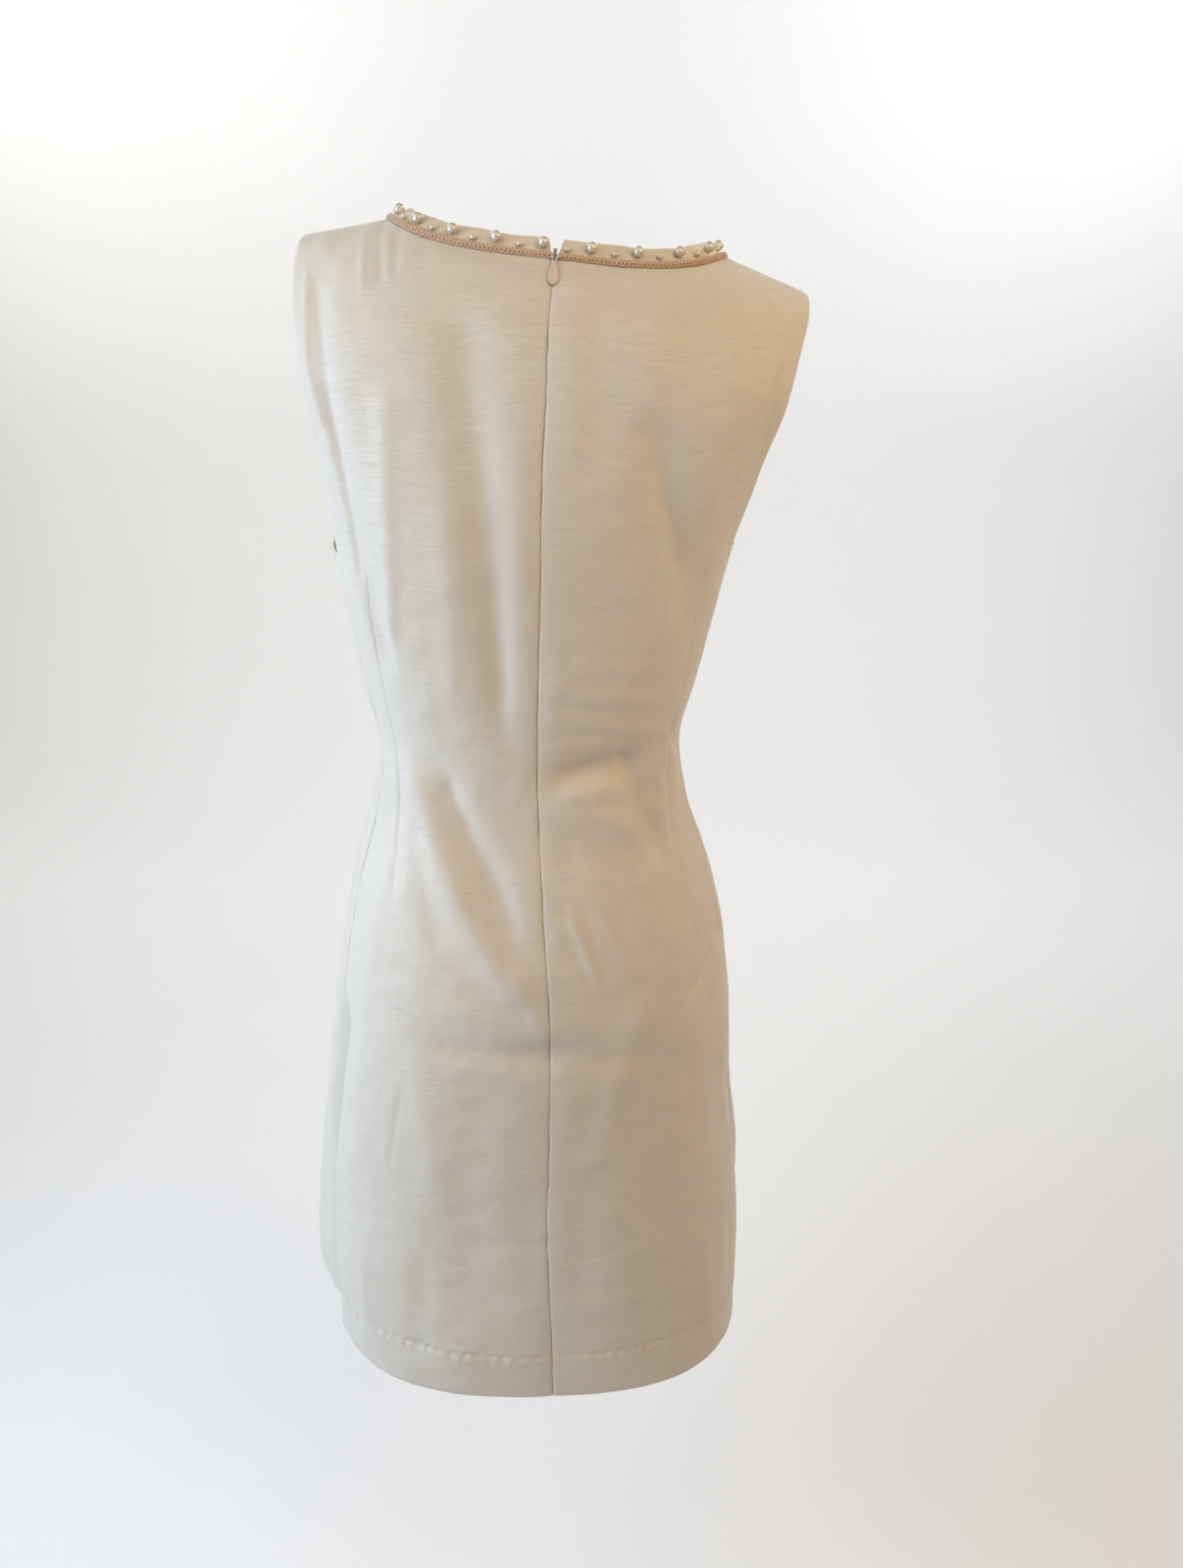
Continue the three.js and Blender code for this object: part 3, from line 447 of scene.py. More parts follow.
def wall_mesh(name, outer, inner, flat):
    """A closed thin shell from two grids of points, with flat coordinates as its UV map."""
    rows, columns = outer.shape[:2]
    count = rows * columns
    points = np.concatenate([outer.reshape(-1, 3), inner.reshape(-1, 3)]) * MM
    index = np.arange(count).reshape(rows, columns)
    a, b, c, d = index[:-1, :-1], index[:-1, 1:], index[1:, 1:], index[1:, :-1]
    outside = np.stack([a, b, c, d], -1).reshape(-1, 4)
    inside = np.stack([a, d, c, b], -1).reshape(-1, 4) + count
    rim = []
    loop = [*index[0, :], *index[1:, -1], *index[-1, -2::-1], *index[-2:0:-1, 0]]
    for k, here in enumerate(loop):
        after = loop[(k + 1) % len(loop)]
        rim.append((after, here, here + count, after + count))
    faces = np.concatenate([outside, inside, np.array(rim)])
    first = points[faces[0]]
    towards = np.cross(first[1] - first[0], first[2] - first[0])
    if towards @ (outer[0, 0] - inner[0, 0]) < 0:
        faces = faces[:, ::-1]
    mesh = bpy.data.meshes.new(name)
    mesh.vertices.add(len(points))
    mesh.vertices.foreach_set("co", points.astype(np.float32).ravel())
    mesh.loops.add(faces.size)
    mesh.loops.foreach_set("vertex_index", faces.astype(np.int32).ravel())
    mesh.polygons.add(len(faces))
    mesh.polygons.foreach_set("loop_start", np.arange(0, faces.size, 4, dtype=np.int32))
    mesh.update(calc_edges=True)
    uv = mesh.uv_layers.new(name="cloth")
    both = np.concatenate([flat.reshape(-1, 2)] * 2)
    uv.data.foreach_set("uv", both[faces.ravel()].astype(np.float32).ravel())
    mesh.polygons.foreach_set("use_smooth", np.ones(len(faces), bool))
    mesh.validate()
    return placed(name, mesh)


CLOTH_WALL, HEM_EXTRA = 0.9, 0.9
CENTRE_SEAM_DEPTH, SIDE_SEAM_DEPTH = 1.15, 0.9


def cloth_shell(name, panel, sides, steps, rows, seed):
    """A panel as a thin shell, with its seams, rolled edges and thicker hem."""
    grid = panel_grid(panel, sides, steps, rows, seed)
    z, relief = grid["z"], grid["relief"]
    below_arm = fading(z - UNDERARM_Z, 3.0)
    if panel is BACK:
        centre, side = grid["start"], grid["end"]
        relief = relief + seam_groove(centre, z, CENTRE_SEAM_DEPTH, seed + 10)
        relief = relief + below_arm * seam_groove(side, z, SIDE_SEAM_DEPTH, seed + 20)
        relief = relief + (1 - below_arm) * edge_roll(side, *ARMHOLE_ROLL)
    else:
        for side, shift in ((grid["start"], 20), (grid["end"], 30)):
            relief = relief + below_arm * seam_groove(side, z, SIDE_SEAM_DEPTH, seed + shift)
            relief = relief + (1 - below_arm) * edge_roll(side, *ARMHOLE_ROLL)
    outer = grid["base"] + grid["normal"] * relief[..., None]
    wall = CLOTH_WALL + HEM_EXTRA * fading(grid["height"] - HEM_DEPTH, 2.0)
    inner = outer - grid["normal"] * wall[..., None]
    flat = np.stack([grid["start"], grid["height"]], -1) * MM
    return wall_mesh(name, outer, inner, flat), grid, outer


# ---- materials
def new_material(name, colour, roughness, **sockets):
    """A material, its node tree and its shader with the given sockets."""
    material = bpy.data.materials.new(name)
    material.use_nodes = True
    shader = material.node_tree.nodes["Principled BSDF"]
    shader.inputs["Base Color"].default_value = (*colour, 1)
    shader.inputs["Roughness"].default_value = roughness
    for socket, value in sockets.items():
        shader.inputs[socket.replace("_", " ")].default_value = value
    return material, material.node_tree, shader


def add_node(tree, kind, **values):
    """A node with some of its sockets set."""
    node = tree.nodes.new(kind)
    for socket, value in values.items():
        node.inputs[socket].default_value = value
    return node


def coordinates(tree, kind):
    return tree.nodes.new("ShaderNodeTexCoord").outputs[kind]


def math_node(tree, operation, *values):
    """A Math node on numbers and outputs of other nodes."""
    node = tree.nodes.new("ShaderNodeMath")
    node.operation = operation
    for k, value in enumerate(values):
        if isinstance(value, (int, float)):
            node.inputs[k].default_value = value
        else:
            tree.links.new(value, node.inputs[k])
    return node.outputs[0]


def stretched_noise(tree, source, scale, detail=2.0, rough=0.55):
    """Noise whose grain is stretched by a different scale on each axis."""
    place = add_node(tree, "ShaderNodeMapping", Scale=scale)
    tree.links.new(source, place.inputs["Vector"])
    noise = add_node(tree, "ShaderNodeTexNoise", Scale=1.0, Detail=detail, Roughness=rough)
    tree.links.new(place.outputs["Vector"], noise.inputs["Vector"])
    return noise.outputs["Fac"]


def ramp(tree, factor, low, high):
    """Black where a factor is below one value, white above another, and straight between."""
    node = tree.nodes.new("ShaderNodeValToRGB")
    for element, place, level in zip(node.color_ramp.elements, (low, high), (0, 1)):
        element.position = place
        element.color = (level, level, level, 1)
    tree.links.new(factor, node.inputs["Fac"])
    return node.outputs["Color"]


def mixed(tree, factor, first, second):
    """The first colour turned into the second by a factor."""
    node = tree.nodes.new("ShaderNodeMix")
    node.data_type = "RGBA"
    for socket, value in ((node.inputs["Factor"], factor), (node.inputs[6], first), (node.inputs[7], second)):
        if isinstance(value, (int, float)):
            socket.default_value = value
        elif isinstance(value, tuple):
            socket.default_value = (*value, 1)
        else:
            tree.links.new(value, socket)
    return node.outputs[2]


def tinted(tree, shade, mask, share, colour):
    """A colour turned into another, by a share of a mask."""
    return mixed(tree, math_node(tree, "MULTIPLY", mask, share), shade, colour)


def vary_roughness(tree, shader, factor, spread, least):
    """Roughness from a least value up, by a factor."""
    tree.links.new(math_node(tree, "MULTIPLY_ADD", factor, spread, least), shader.inputs["Roughness"])


def bump(tree, shader, height, distance, strength, after=None):
    """Small relief on a shader, on top of an earlier one where that is given."""
    node = add_node(tree, "ShaderNodeBump", Distance=distance, Strength=strength)
    tree.links.new(height, node.inputs["Height"])
    if after is not None:
        tree.links.new(after, node.inputs["Normal"])
    tree.links.new(node.outputs["Normal"], shader.inputs["Normal"])
    return node.outputs["Normal"]


CLOTH_LIGHT, CLOTH_DARK = (0.77, 0.735, 0.67), (0.66, 0.61, 0.53)


def cloth_material():
    """Slub weave: uneven horizontal weft over a fine warp, with a soft satin sheen."""
    material, tree, shader = new_material(
        "slub_cloth", CLOTH_LIGHT, 0.5, Sheen_Weight=0.28, Sheen_Roughness=0.45)
    shader.inputs["Specular IOR Level"].default_value = 0.42
    shader.inputs["Sheen Tint"].default_value = (1, 0.97, 0.92, 1)
    uv = coordinates(tree, "UV")
    weft = stretched_noise(tree, uv, (60, 2300, 1), 2.5)
    slub = stretched_noise(tree, uv, (30, 1300, 1), 3.0, 0.62)
    warp = stretched_noise(tree, uv, (2300, 60, 1), 2.0)
    cloudy = stretched_noise(tree, uv, (7, 9, 1), 3.0)
    thick = ramp(tree, slub, 0.52, 0.74)
    shade = mixed(tree, weft, CLOTH_DARK, CLOTH_LIGHT)
    shade = tinted(tree, shade, thick, 0.4, (0.82, 0.79, 0.73))
    shade = tinted(tree, shade, warp, 0.16, (0.58, 0.52, 0.43))
    shade = tinted(tree, shade, cloudy, 0.24, (0.64, 0.56, 0.45))
    tree.links.new(shade, shader.inputs["Base Color"])
    vary_roughness(tree, shader, weft, 0.16, 0.44)
    height = math_node(tree, "MULTIPLY", weft, 0.8)
    height = math_node(tree, "ADD", height, math_node(tree, "MULTIPLY", warp, 0.5))
    height = math_node(tree, "ADD", height, math_node(tree, "MULTIPLY", thick, 1.2))
    bump(tree, shader, height, 0.0004, 0.55)
    return material


def satin_material():
    """Narrow satin band with faint ripples and a closer sheen."""
    material, tree, shader = new_material(
        "satin_band", (0.62, 0.50, 0.36), 0.34, Sheen_Weight=0.2, Sheen_Roughness=0.4)
    shader.inputs["Anisotropic"].default_value = 0.35
    uv = coordinates(tree, "UV")
    weave = stretched_noise(tree, uv, (900, 2400, 1), 2.0)
    ripple = stretched_noise(tree, uv, (55, 60, 1), 2.0)
    shade = mixed(tree, ripple, (0.80, 0.72, 0.60), (0.64, 0.54, 0.41))
    shade = tinted(tree, shade, weave, 0.3, (0.76, 0.68, 0.56))
    tree.links.new(shade, shader.inputs["Base Color"])
    vary_roughness(tree, shader, ripple, 0.2, 0.2)
    first = bump(tree, shader, ripple, 0.0022, 0.6)
    bump(tree, shader, weave, 0.00015, 0.4, first)
    return material


def braid_material():
    """Matt plaited yarn: fibres run along each strand, with painted shade where the strands meet."""
    material, tree, shader = new_material(
        "braid_yarn", (0.52, 0.34, 0.21), 0.72, Sheen_Weight=0.35, Sheen_Roughness=0.6)
    uv = coordinates(tree, "UV")
    fibre = stretched_noise(tree, uv, (260, 6500, 1), 2.5)
    patch = stretched_noise(tree, uv, (70, 300, 1), 2.0)
    shade = mixed(tree, fibre, (0.44, 0.28, 0.17), (0.68, 0.49, 0.34))
    shade = tinted(tree, shade, patch, 0.35, (0.66, 0.44, 0.33))
    # Painted shade: each strand's ring is darkened towards deep brown at its sides, where it meets its
    # neighbours.
    around = add_node(tree, "ShaderNodeSeparateXYZ")
    tree.links.new(uv, around.inputs[0])
    edge = math_node(tree, "COSINE", math_node(tree, "MULTIPLY", around.outputs["Y"], UV_TURN / MM))
    edge = math_node(tree, "POWER", math_node(tree, "ABSOLUTE", edge), 4.0)
    shade = tinted(tree, shade, edge, 0.8, (0.20, 0.11, 0.06))
    tree.links.new(shade, shader.inputs["Base Color"])
    vary_roughness(tree, shader, patch, 0.2, 0.6)
    bump(tree, shader, fibre, 0.0003, 0.8)
    return material


def pearl_material():
    """Champagne-grey pearl: glossy coat over a dense, slightly metallic body, with painted shade darkening
    its rim.
    """
    material, tree, shader = new_material(
        "champagne_pearl", (0.80, 0.75, 0.65), 0.2, Metallic=0.3, Coat_Weight=0.9, Coat_Roughness=0.06)
    local = coordinates(tree, "Object")
    clouds = stretched_noise(tree, local, (240, 240, 240), 3.0)
    # Painted shade: the base colour darkens towards the pearl's rim, where its surface turns away from view.
    painted_rim_shade = add_node(tree, "ShaderNodeLayerWeight", Blend=0.45).outputs["Facing"]
    shade = mixed(tree, clouds, (0.86, 0.82, 0.73), (0.72, 0.66, 0.55))
    shade = tinted(tree, shade, painted_rim_shade, 0.7, (0.34, 0.29, 0.21))
    tree.links.new(shade, shader.inputs["Base Color"])
    vary_roughness(tree, shader, clouds, 0.1, 0.13)
    bump(tree, shader, clouds, 0.00008, 0.4)
    return material


def metal_material(name, colour, metallic, roughness, coat):
    """Lacquered metal with faint rubbing on its surface."""
    material, tree, shader = new_material(
        name, colour, roughness, Metallic=metallic, Coat_Weight=coat, Coat_Roughness=0.08)
    local = coordinates(tree, "Object")
    rub = stretched_noise(tree, local, (900, 900, 260), 3.0)
    darker = tuple(value * 0.8 for value in colour)
    tree.links.new(mixed(tree, rub, darker, colour), shader.inputs["Base Color"])
    vary_roughness(tree, shader, rub, 0.14, roughness - 0.06)
    bump(tree, shader, rub, 0.00005, 0.4)
    return material


def woven_material(name, colour, scale):
    """Plain woven tape or thread."""
    material, tree, shader = new_material(name, colour, 0.8, Sheen_Weight=0.2)
    local = coordinates(tree, "Object")
    weave = stretched_noise(tree, local, (scale, scale, scale * 2.5), 2.0)
    darker = tuple(value * 0.78 for value in colour)
    tree.links.new(mixed(tree, weave, darker, colour), shader.inputs["Base Color"])
    vary_roughness(tree, shader, weave, 0.15, 0.7)
    bump(tree, shader, weave, 0.0002, 0.5)
    return material


CLOTH = cloth_material()
SATIN = satin_material()
BRAID = braid_material()
PEARL = pearl_material()
SLIDER_METAL = metal_material("slider_metal", (0.66, 0.60, 0.52), 0.85, 0.3, 0.2)
PULL_LACQUER = metal_material("pull_lacquer", (0.54, 0.45, 0.33), 0.35, 0.24, 0.9)
TAPE = woven_material("zip_tape_weave", (0.60, 0.52, 0.41), 1500)
THREAD = woven_material("sewing_thread", (0.74, 0.67, 0.56), 2500)


def dressed(piece, material, body, slot, *nodes):
    """Material, body and the CAD nodes that a piece stands for; the slot argument is not used."""
    piece.data.materials.clear()
    piece.data.materials.append(material)
    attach(piece, body)
    if nodes:
        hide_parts(*nodes)
    return piece


# ---- cloth
STEPS_BACK, ROWS_BACK = 172, (200, 66)
STEPS_FRONT, ROWS_FRONT = 112, (150, 54)
back_left, grid_left, outer_left = cloth_shell("cloth_back_left", BACK, (1,), STEPS_BACK, ROWS_BACK, 11)
back_right, grid_right, outer_right = cloth_shell("cloth_back_right", BACK, (-1,), STEPS_BACK, ROWS_BACK, 47)
front, grid_front, outer_front = cloth_shell("cloth_front", FRONT, (-1, 1), STEPS_FRONT, ROWS_FRONT, 83)
dressed(back_left, CLOTH, "dress", "cloth", "back_left")
dressed(back_right, CLOTH, "dress", "cloth", "back_right")
dressed(front, CLOTH, "dress", "cloth", "front")


# ---- neckline frames
NECK_SAMPLES = 90
BAND_STEP, BAND_CORNER, BAND_FOLD, BAND_WALL = 1.6, 2.6, 1.2, 0.95
SHOULDER_GAP = 0.15


def neck_run():
    """Points of the neckline: centre back, wearer's left, centre front, right, centre back."""
    across = np.linspace(0, NECK_ACROSS, NECK_SAMPLES + 1)
    runs = []
    for panel, side in ((BACK, 1), (FRONT, 1), (FRONT, -1), (BACK, -1)):
        angle, z = panel_place(panel, across, np.full(across.shape, 2.0))
        angle = angle if side > 0 else 180 - angle
        rise = fold_rise(angle, z, MAIN_FOLDS)
        runs.append(skin(angle, z, rise))
    return np.concatenate([runs[0], runs[1][::-1][1:], runs[2][1:], runs[3][::-1][1:]])


NECK_POINTS = neck_run()
NECK_REACH = np.concatenate([[0], np.cumsum(np.linalg.norm(np.diff(NECK_POINTS, axis=0), axis=1))])
NECK_LENGTH = NECK_REACH[-1]
SHOULDER_PLACES = (NECK_REACH[NECK_SAMPLES], NECK_REACH[3 * NECK_SAMPLES])


def unit(vectors):
    """Vectors scaled to a length of 1."""
    return vectors / np.linalg.norm(vectors, axis=-1, keepdims=True)


def smooth_run(values, span):
    """Running mean of the rows, so that a corner becomes a short curve."""
    kernel = np.ones(2 * span + 1) / (2 * span + 1)
    padded = np.pad(values, ((span, span), (0, 0)), mode="edge")
    return np.stack([np.convolve(padded[:, k], kernel, "valid") for k in range(values.shape[1])], -1)


def neck_frames(ease):
    """Along the neckline, up the band and outwards, at each neckline point."""
    along = unit(smooth_run(np.gradient(NECK_POINTS, axis=0), 4))
    sideways = np.minimum(1, np.abs(NECK_POINTS[:, 0]) / NECK_HALF) ** 4
    tilt = column(STANCE, TILT, 0.0)
    at_shoulder = SHOULDER_LEAN - ease - np.sign(NECK_POINTS[:, 0]) * tilt
    lean = np.radians(CENTRE_LEAN + (at_shoulder - CENTRE_LEAN) * sideways)[:, None]
    level = unit(np.stack([along[:, 1], -along[:, 0], 0 * along[:, 0]], -1))
    up = level * np.cos(lean) + np.array([0, 0, 1.0]) * np.sin(lean)
    up = unit(up - along * (up * along).sum(-1, keepdims=True))
    return along, up, np.cross(up, along)


BAND_FRAMES, BRAID_FRAMES = neck_frames(0), neck_frames(BRAID_EASE)


def at_neck(frames, distance):
    """Point, along, up and outwards at distances along the neckline."""
    read = lambda values: np.stack([np.interp(distance, NECK_REACH, values[:, k]) for k in range(3)], -1)
    return (read(NECK_POINTS), *(unit(read(values)) for values in frames))


def off_neck(frames, distance, up_by, out_by):
    """Points above and outside the neckline at distances along it."""
    point, _, up, out = at_neck(frames, distance)
    return point + up * np.asarray(up_by)[..., None] + out * np.asarray(out_by)[..., None]


def band_piece(name, start, end, node, seed):
    """A stretch of the satin band: soft upper fold, slight ripples, rounded at the zip."""
    heights = np.linspace(0.2, BAND_HEIGHT - BAND_FOLD, 9)
    heights = np.concatenate([heights, BAND_HEIGHT - np.array([0.7, 0.3, 0.05])])
    steps = round((end - start) / BAND_STEP)
    shares = np.linspace(0, 1, steps + 1)
    outer, inner = [], []
    lift = noise_field(np.linspace(start, end, steps + 1), np.zeros(steps + 1), 23, seed)
    for height in heights:
        grow = height / BAND_HEIGHT
        opening = BAND_GAP_BELOW + (BAND_GAP_ABOVE - BAND_GAP_BELOW) * grow
        into_corner = max(0, height - BAND_HEIGHT + BAND_CORNER)
        corner = BAND_CORNER - math.sqrt(max(0, BAND_CORNER ** 2 - into_corner ** 2))
        first = start + (opening + corner if start == 0 else 0)
        last = end - (opening + corner if end == NECK_LENGTH else 0)
        distance = first + (last - first) * shares
        ripple = 0.45 * noise_field(distance, np.full(distance.shape, height), 11, seed + 3)
        ripple += 0.3 * noise_field(distance, np.full(distance.shape, height * 2), 26, seed + 4)
        bulge = 0.5 * math.sin(math.pi * min(1, grow)) + ripple * grow * 0.7
        turned = -0.45 * max(0, (height - BAND_HEIGHT + BAND_FOLD) / BAND_FOLD) ** 2
        up_by = height + 0.5 * lift * grow
        outer.append(off_neck(BAND_FRAMES, distance, up_by, bulge + turned))
        inner.append(off_neck(BAND_FRAMES, distance, up_by - 0.1 * grow, bulge - BAND_WALL - turned * 0.6))
    outer, inner = np.array(outer), np.array(inner)
    flat = np.stack(np.meshgrid(np.linspace(start, end, steps + 1), heights), -1) * MM
    piece = wall_mesh(name, outer, inner, flat)
    dressed(piece, SATIN, "dress", "band", node)
    return piece


left_shoulder, right_shoulder = SHOULDER_PLACES
band_piece("band_back_left", 0, left_shoulder - SHOULDER_GAP, "neck_band_back_left", 5)
band_piece("band_front", left_shoulder + SHOULDER_GAP, right_shoulder - SHOULDER_GAP, "neck_band_front", 6)
band_piece("band_back_right", right_shoulder + SHOULDER_GAP, NECK_LENGTH, "neck_band_back_right", 7)


# ---- braid, pearls, threads
def tube_mesh(name, runs, radii, sides, outwards=None):
    """Closed oval tubes along runs of points; each ring is turned with the run."""
    points, faces, flats = [], [], []
    base = 0
    turn = np.linspace(0, 2 * math.pi, sides, endpoint=False)
    wide, high = radii[0] * np.cos(turn)[None, :, None], radii[1] * np.sin(turn)[None, :, None]
    for run in runs:
        run = np.asarray(run, float)
        tangent = unit(np.gradient(run, axis=0))
        if outwards is None:
            guide = np.where(np.abs(tangent[:, 2:3]) < 0.8, np.array([[0, 0, 1.0]]), np.array([[1.0, 0, 0]]))
        else:
            guide = outwards(run)
        side_way = unit(np.cross(tangent, guide))
        out_way = np.cross(side_way, tangent)
        rings = run[:, None] + side_way[:, None] * wide + out_way[:, None] * high
        reach = np.concatenate([[0], np.cumsum(np.linalg.norm(np.diff(run, axis=0), axis=1))])
        points.append(rings.reshape(-1, 3))
        flat = np.stack(np.broadcast_arrays(reach[:, None], turn[None, :] / UV_TURN), -1)
        flats.append(flat.reshape(-1, 2))
        for i in range(len(run) - 1):
            for k in range(sides):
                a, b = base + i * sides + k, base + i * sides + (k + 1) % sides
                faces.append((a, b, b + sides, a + sides))
        for first, order in ((base, 1), (base + (len(run) - 1) * sides, -1)):
            centre = base + len(run) * sides + (0 if order > 0 else 1)
            for k in range(sides):
                pair = (first + (k + 1) % sides, first + k)[::order]
                faces.append((centre, *pair))
        points.append(run[[0, -1]])
        flats.append(np.array([[0, 0], [reach[-1], 0]]))
        base += len(run) * sides + 2
    mesh = smooth_mesh(name, (np.concatenate(points) * MM).tolist(), faces)
    uv = mesh.uv_layers.new(name="run")
    flat = np.concatenate(flats) * MM
    corner = np.zeros(len(mesh.loops), np.int32)
    mesh.loops.foreach_get("vertex_index", corner)
    uv.data.foreach_set("uv", flat[corner].astype(np.float32).ravel())
    return placed(name, mesh)


PLAIT_PITCH, PLAIT_SWING, PLAIT_WEAVE = 8.4, 1.9, 0.8
BRAID_START, BRAID_MIDDLE, BRAID_STEP = 2.4, 1.45, 0.62
STRANDS, STRAND_RADII, STRAND_SIDES = 3, (1.08, 0.86), 9
THREAD_RADII, STITCH_RADII, THREAD_SIDES = (0.16, 0.16), (0.3, 0.22), 6


def plait_run(strand):
    """Middle line of one strand, which swings up and down and passes over and under."""
    distance = np.arange(BRAID_START, NECK_LENGTH - BRAID_START, BRAID_STEP)
    phase = 2 * math.pi * (distance / PLAIT_PITCH + strand / STRANDS)
    swing = PLAIT_SWING * np.sin(phase) + 0.12 * noise_field(distance, 0 * distance, 5, 70 + strand)
    weave = BRAID_MIDDLE + PLAIT_WEAVE * np.cos(2 * phase)
    return off_neck(BRAID_FRAMES, distance, swing, weave)


def outwards_at(run):
    """The braid's outward way near each point of a run beside the neckline."""
    distance = np.linspace(BRAID_START, NECK_LENGTH - BRAID_START, len(run))
    return at_neck(BRAID_FRAMES, distance)[3]


strand_runs = [plait_run(k) for k in range(STRANDS)]
braid = tube_mesh("braid_cord", strand_runs, STRAND_RADII, STRAND_SIDES, outwards_at)
dressed(braid, BRAID, "dress", "braid", "neck_braid")


PEARL_AROUND, PEARL_RINGS = 28, 18
HOLE_DIP, HOLE_REACH, HOLE_BOTTOM = 0.08, 0.03, 0.84  # shares of a pearl's radius


def pearl_mesh(name, diameter, seed):
    """A pearl, very slightly off round, with the two small dimples of its drilled hole."""
    around, rings = PEARL_AROUND, PEARL_RINGS
    theta = np.linspace(0, math.pi, rings + 1)[1:-1]
    phi = np.linspace(0, 2 * math.pi, around, endpoint=False)
    t, p = np.meshgrid(theta, phi, indexing="ij")
    out = np.stack([np.cos(t), np.sin(t) * np.cos(p), np.sin(t) * np.sin(p)], -1).reshape(-1, 3)
    wobble = np.random.default_rng(seed).normal(size=3)
    radius = diameter / 2 * (1 + 0.012 * np.cos(out @ wobble * 2))
    hole = np.exp(-((1 - np.abs(out[:, 0])) / HOLE_REACH))
    body = out * (radius * (1 - HOLE_DIP * hole))[:, None]
    ends = diameter / 2 * HOLE_BOTTOM * np.array([[1.0, 0, 0], [-1.0, 0, 0]])
    faces = []
    for i in range(rings - 2):
        for k in range(around):
            a, b = i * around + k, i * around + (k + 1) % around
            faces.append((a, a + around, b + around, b))
    first, second = len(body), len(body) + 1
    last = (rings - 2) * around
    for k in range(around):
        faces.append((first, k, (k + 1) % around))
        faces.append((second, last + (k + 1) % around, last + k))
    return smooth_mesh(name, (np.concatenate([body, ends]) * MM).tolist(), faces)


def thread_runs(middle, half, axis, along, out):
    """The two short threads from the ends of a pearl's hole down to the band."""
    t = np.linspace(0, 1, 7)[:, None]
    for way in (-1, 1):
        start = middle + axis * way * half * 0.86
        foot = middle + along * way * (half + 0.9) - out * (half + 0.2)
        bend = middle + axis * way * (half + 0.55) - out * half * 0.35
        yield (1 - t) ** 2 * start + 2 * t * (1 - t) * bend + t * t * foot


threads, thread_rng = [], np.random.default_rng(303)
for node in sorted(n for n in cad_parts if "_pearl_" in n):
    low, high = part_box(node)
    centre, diameter = (low + high) / 2, max(high - low) / MM
    nearest = int(np.argmin(np.linalg.norm(NECK_POINTS * MM - np.array(centre), axis=1)))
    along, up, out = (values[nearest] for values in BAND_FRAMES)
    kind, number = node.split("_pearl_")
    pearl_name = f"pearl_{kind}_{number}"
    piece = placed(pearl_name, pearl_mesh(pearl_name, diameter, int(number)))
    spin = thread_rng.normal(0, 0.12, 2)
    axis = unit(along + up * spin[0] + out * spin[1] * 0.5)
    third = unit(np.cross(axis, up))
    turned = Matrix([axis.tolist(), np.cross(third, axis).tolist(), third.tolist()]).transposed()
    piece.matrix_world = Matrix.Translation(centre) @ turned.to_4x4()
    dressed(piece, PEARL, "dress", "pearl", node)
    threads.extend(thread_runs(np.array(centre) / MM, diameter / 2, axis, along, out))
thread_piece = tube_mesh("pearl_threads", threads, THREAD_RADII, THREAD_SIDES)
dressed(thread_piece, THREAD, "dress", "band")


# ---- hem stitches
HEM_STITCH_START = 5.0


def grid_reader(outer, grid):
    """Reads the outer surface at a place along the hem row nearest to a height."""
    def read(along, height):
        row = int(np.argmin(np.abs(grid["height"][:, outer.shape[1] // 2] - height)))
        reach = grid["start"][row]
        place = np.stack([np.interp(along, reach, outer[row, :, k]) for k in range(3)], -1)
        way = np.stack([np.interp(along, reach, grid["normal"][row, :, k]) for k in range(3)], -1)
        return place, way, reach[-1]
    return read


def hem_stitches(name, outer, grid, seed):
    """Tiny catches of thread where the hem is blind stitched."""
    rng = np.random.default_rng(seed)
    read = grid_reader(outer, grid)
    total = read(0.0, HEM_DEPTH)[2]
    runs, place = [], HEM_STITCH_START
    while place < total - HEM_STITCH_START:
        length, slant = rng.uniform(1.1, 2.4), rng.normal(0, 0.35)
        start, way, _ = read(place, HEM_DEPTH + rng.normal(0.2, 0.3))
        end, _, _ = read(place + length, HEM_DEPTH)
        t = np.linspace(0, 1, 5)[:, None]
        rise = np.array([0, 0, slant])
        runs.append(start + (end + rise - start) * t + way * (0.55 * np.sin(math.pi * t) - 0.25))
        place += rng.uniform(*STITCH_STEP)
    piece = tube_mesh(name, runs, STITCH_RADII, THREAD_SIDES)
    dressed(piece, THREAD, "dress", "cloth")


hem_stitches("hem_stitches_back_left", outer_left, grid_left, 401)
hem_stitches("hem_stitches_back_right", outer_right, grid_right, 402)
hem_stitches("hem_stitches_front", outer_front, grid_front, 403)


# ---- zip
BEVEL_ANGLE = math.radians(35)


def finish_node(name, material, width=0.0, segments=1):
    """A CAD node that stays, with its finish and, where a width is given, softened edges."""
    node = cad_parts[name]
    node.data.materials.clear()
    node.data.materials.append(material)
    if width:
        edge = node.modifiers.new("edges", "BEVEL")
        edge.width, edge.segments, edge.limit_method = width * MM, segments, "ANGLE"
        edge.angle_limit = BEVEL_ANGLE


finish_node("zip_slider", SLIDER_METAL, 0.22, 2)
finish_node("zip_pull", PULL_LACQUER, 0.38, 3)
finish_node("zip_tape_left", TAPE)
finish_node("zip_tape_right", TAPE)


# ---- stage
def area_light(name, place, target, size, power, colour):
    """A rectangular light, in metres and watts, that points at a target."""
    light = bpy.data.lights.new(name, "AREA")
    light.shape, light.size, light.size_y = "RECTANGLE", size[0], size[1]
    light.energy, light.color = power, colour
    lamp = placed(name, light)
    lamp.location = place
    lamp.rotation_euler = (Vector(target) - Vector(place)).to_track_quat("-Z", "Y").to_euler()


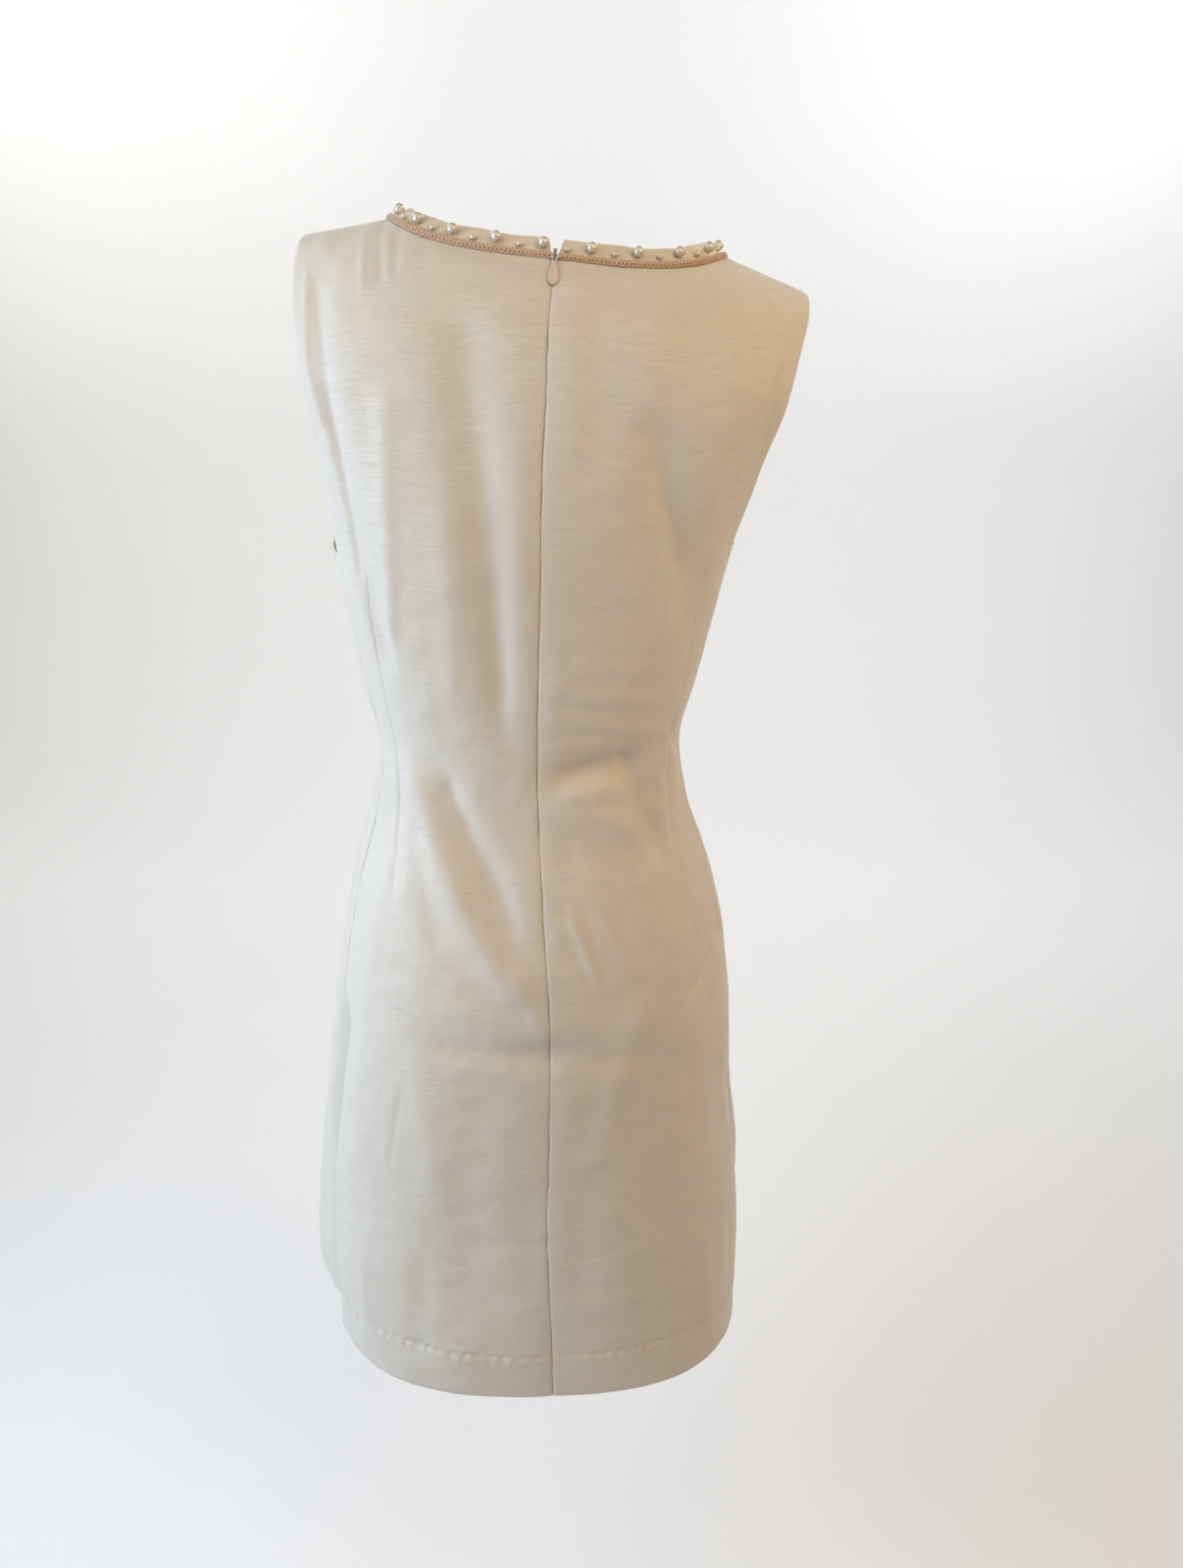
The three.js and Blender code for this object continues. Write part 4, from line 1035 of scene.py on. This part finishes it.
def pale_floor():
    """A plain pale sweep: a floor that curves up into a wall far behind the dress."""
    material, tree, shader = new_material("pale_floor", (0.9, 0.9, 0.9), 0.9)
    local = coordinates(tree, "Object")
    shade = stretched_noise(tree, local, (1.5, 1.5, 1.5), 2.0)
    tree.links.new(mixed(tree, shade, (0.92, 0.92, 0.91), (0.89, 0.89, 0.88)), shader.inputs["Base Color"])
    half, floor_z, bend_y, radius, top = 7.0, -1.5, -2.2, 1.2, 4.0
    turns = [k * math.pi / 24 for k in range(13)]
    profile = [(4.0, floor_z)]
    profile += [(bend_y - radius * math.sin(t), floor_z + radius * (1 - math.cos(t))) for t in turns]
    profile.append((bend_y - radius, top))
    points = [(side * half, y, z) for y, z in profile for side in (-1, 1)]
    faces = [(2 * k, 2 * k + 1, 2 * k + 3, 2 * k + 2) for k in range(len(profile) - 1)]
    mesh = smooth_mesh("floor", points, faces)
    mesh.materials.append(material)
    floor = placed("floor", mesh)


pale_floor()
# name, place, target, size, power, colour
LIGHTS = [
    ("window", (1.15, 0.45, -0.25), (0.05, 0.05, -0.45), (0.8, 0.8), 11, (0.80, 0.86, 1.0)),
    ("window_edge", (1.50, 0.05, -0.25), (0.10, 0.0, -0.40), (0.9, 1.2), 8, (0.36, 0.66, 1.0)),
    ("window_high", (1.10, 0.90, 0.75), (0.05, 0.05, -0.35), (0.9, 0.9), 6, (1.0, 0.97, 0.80)),
    ("warm_lamp", (-0.80, 1.10, 0.60), (0.0, 0.05, -0.25), (0.8, 0.8), 9, (1.0, 0.80, 0.52)),
    ("warm_edge", (-1.25, 0.35, 0.10), (0.0, 0.05, -0.35), (0.9, 0.9), 4.5, (1.0, 0.55, 0.22)),
    ("ceiling", (0.05, 0.55, 1.25), (0.0, 0.02, -0.10), (0.9, 0.6), 2.5, (1.0, 0.86, 0.80)),
    ("backdrop_left", (1.9, -1.7, 1.5), (0.5, -3.4, -0.6), (1.6, 1.6), 42, (1.0, 1.0, 1.0)),
    ("backdrop_right", (-1.9, -1.7, 1.5), (-0.5, -3.4, -0.6), (1.6, 1.6), 42, (1.0, 1.0, 1.0))]
for light_row in LIGHTS:
    area_light(*light_row)

world = bpy.data.worlds.new("pale_world")
world.use_nodes = True
background = world.node_tree.nodes["Background"]
background.inputs["Color"].default_value = (0.94, 0.95, 0.97, 1)
background.inputs["Strength"].default_value = 0.12
bpy.context.scene.world = world

SENSOR_WIDTH, FIELD_OF_VIEW, CAMERA_PITCH = 36, 67.30, 70
camera_data = bpy.data.cameras.new("camera")
camera_data.sensor_width = SENSOR_WIDTH
camera_data.lens = SENSOR_WIDTH / 2 / math.tan(math.radians(FIELD_OF_VIEW / 2))
camera = placed("camera", camera_data)
camera.location = (-0.021, 0.900, -0.077)
camera.rotation_euler = (math.radians(CAMERA_PITCH), 0, math.pi)
bpy.context.scene.camera = camera

bpy.context.scene.view_settings.view_transform = "Standard"
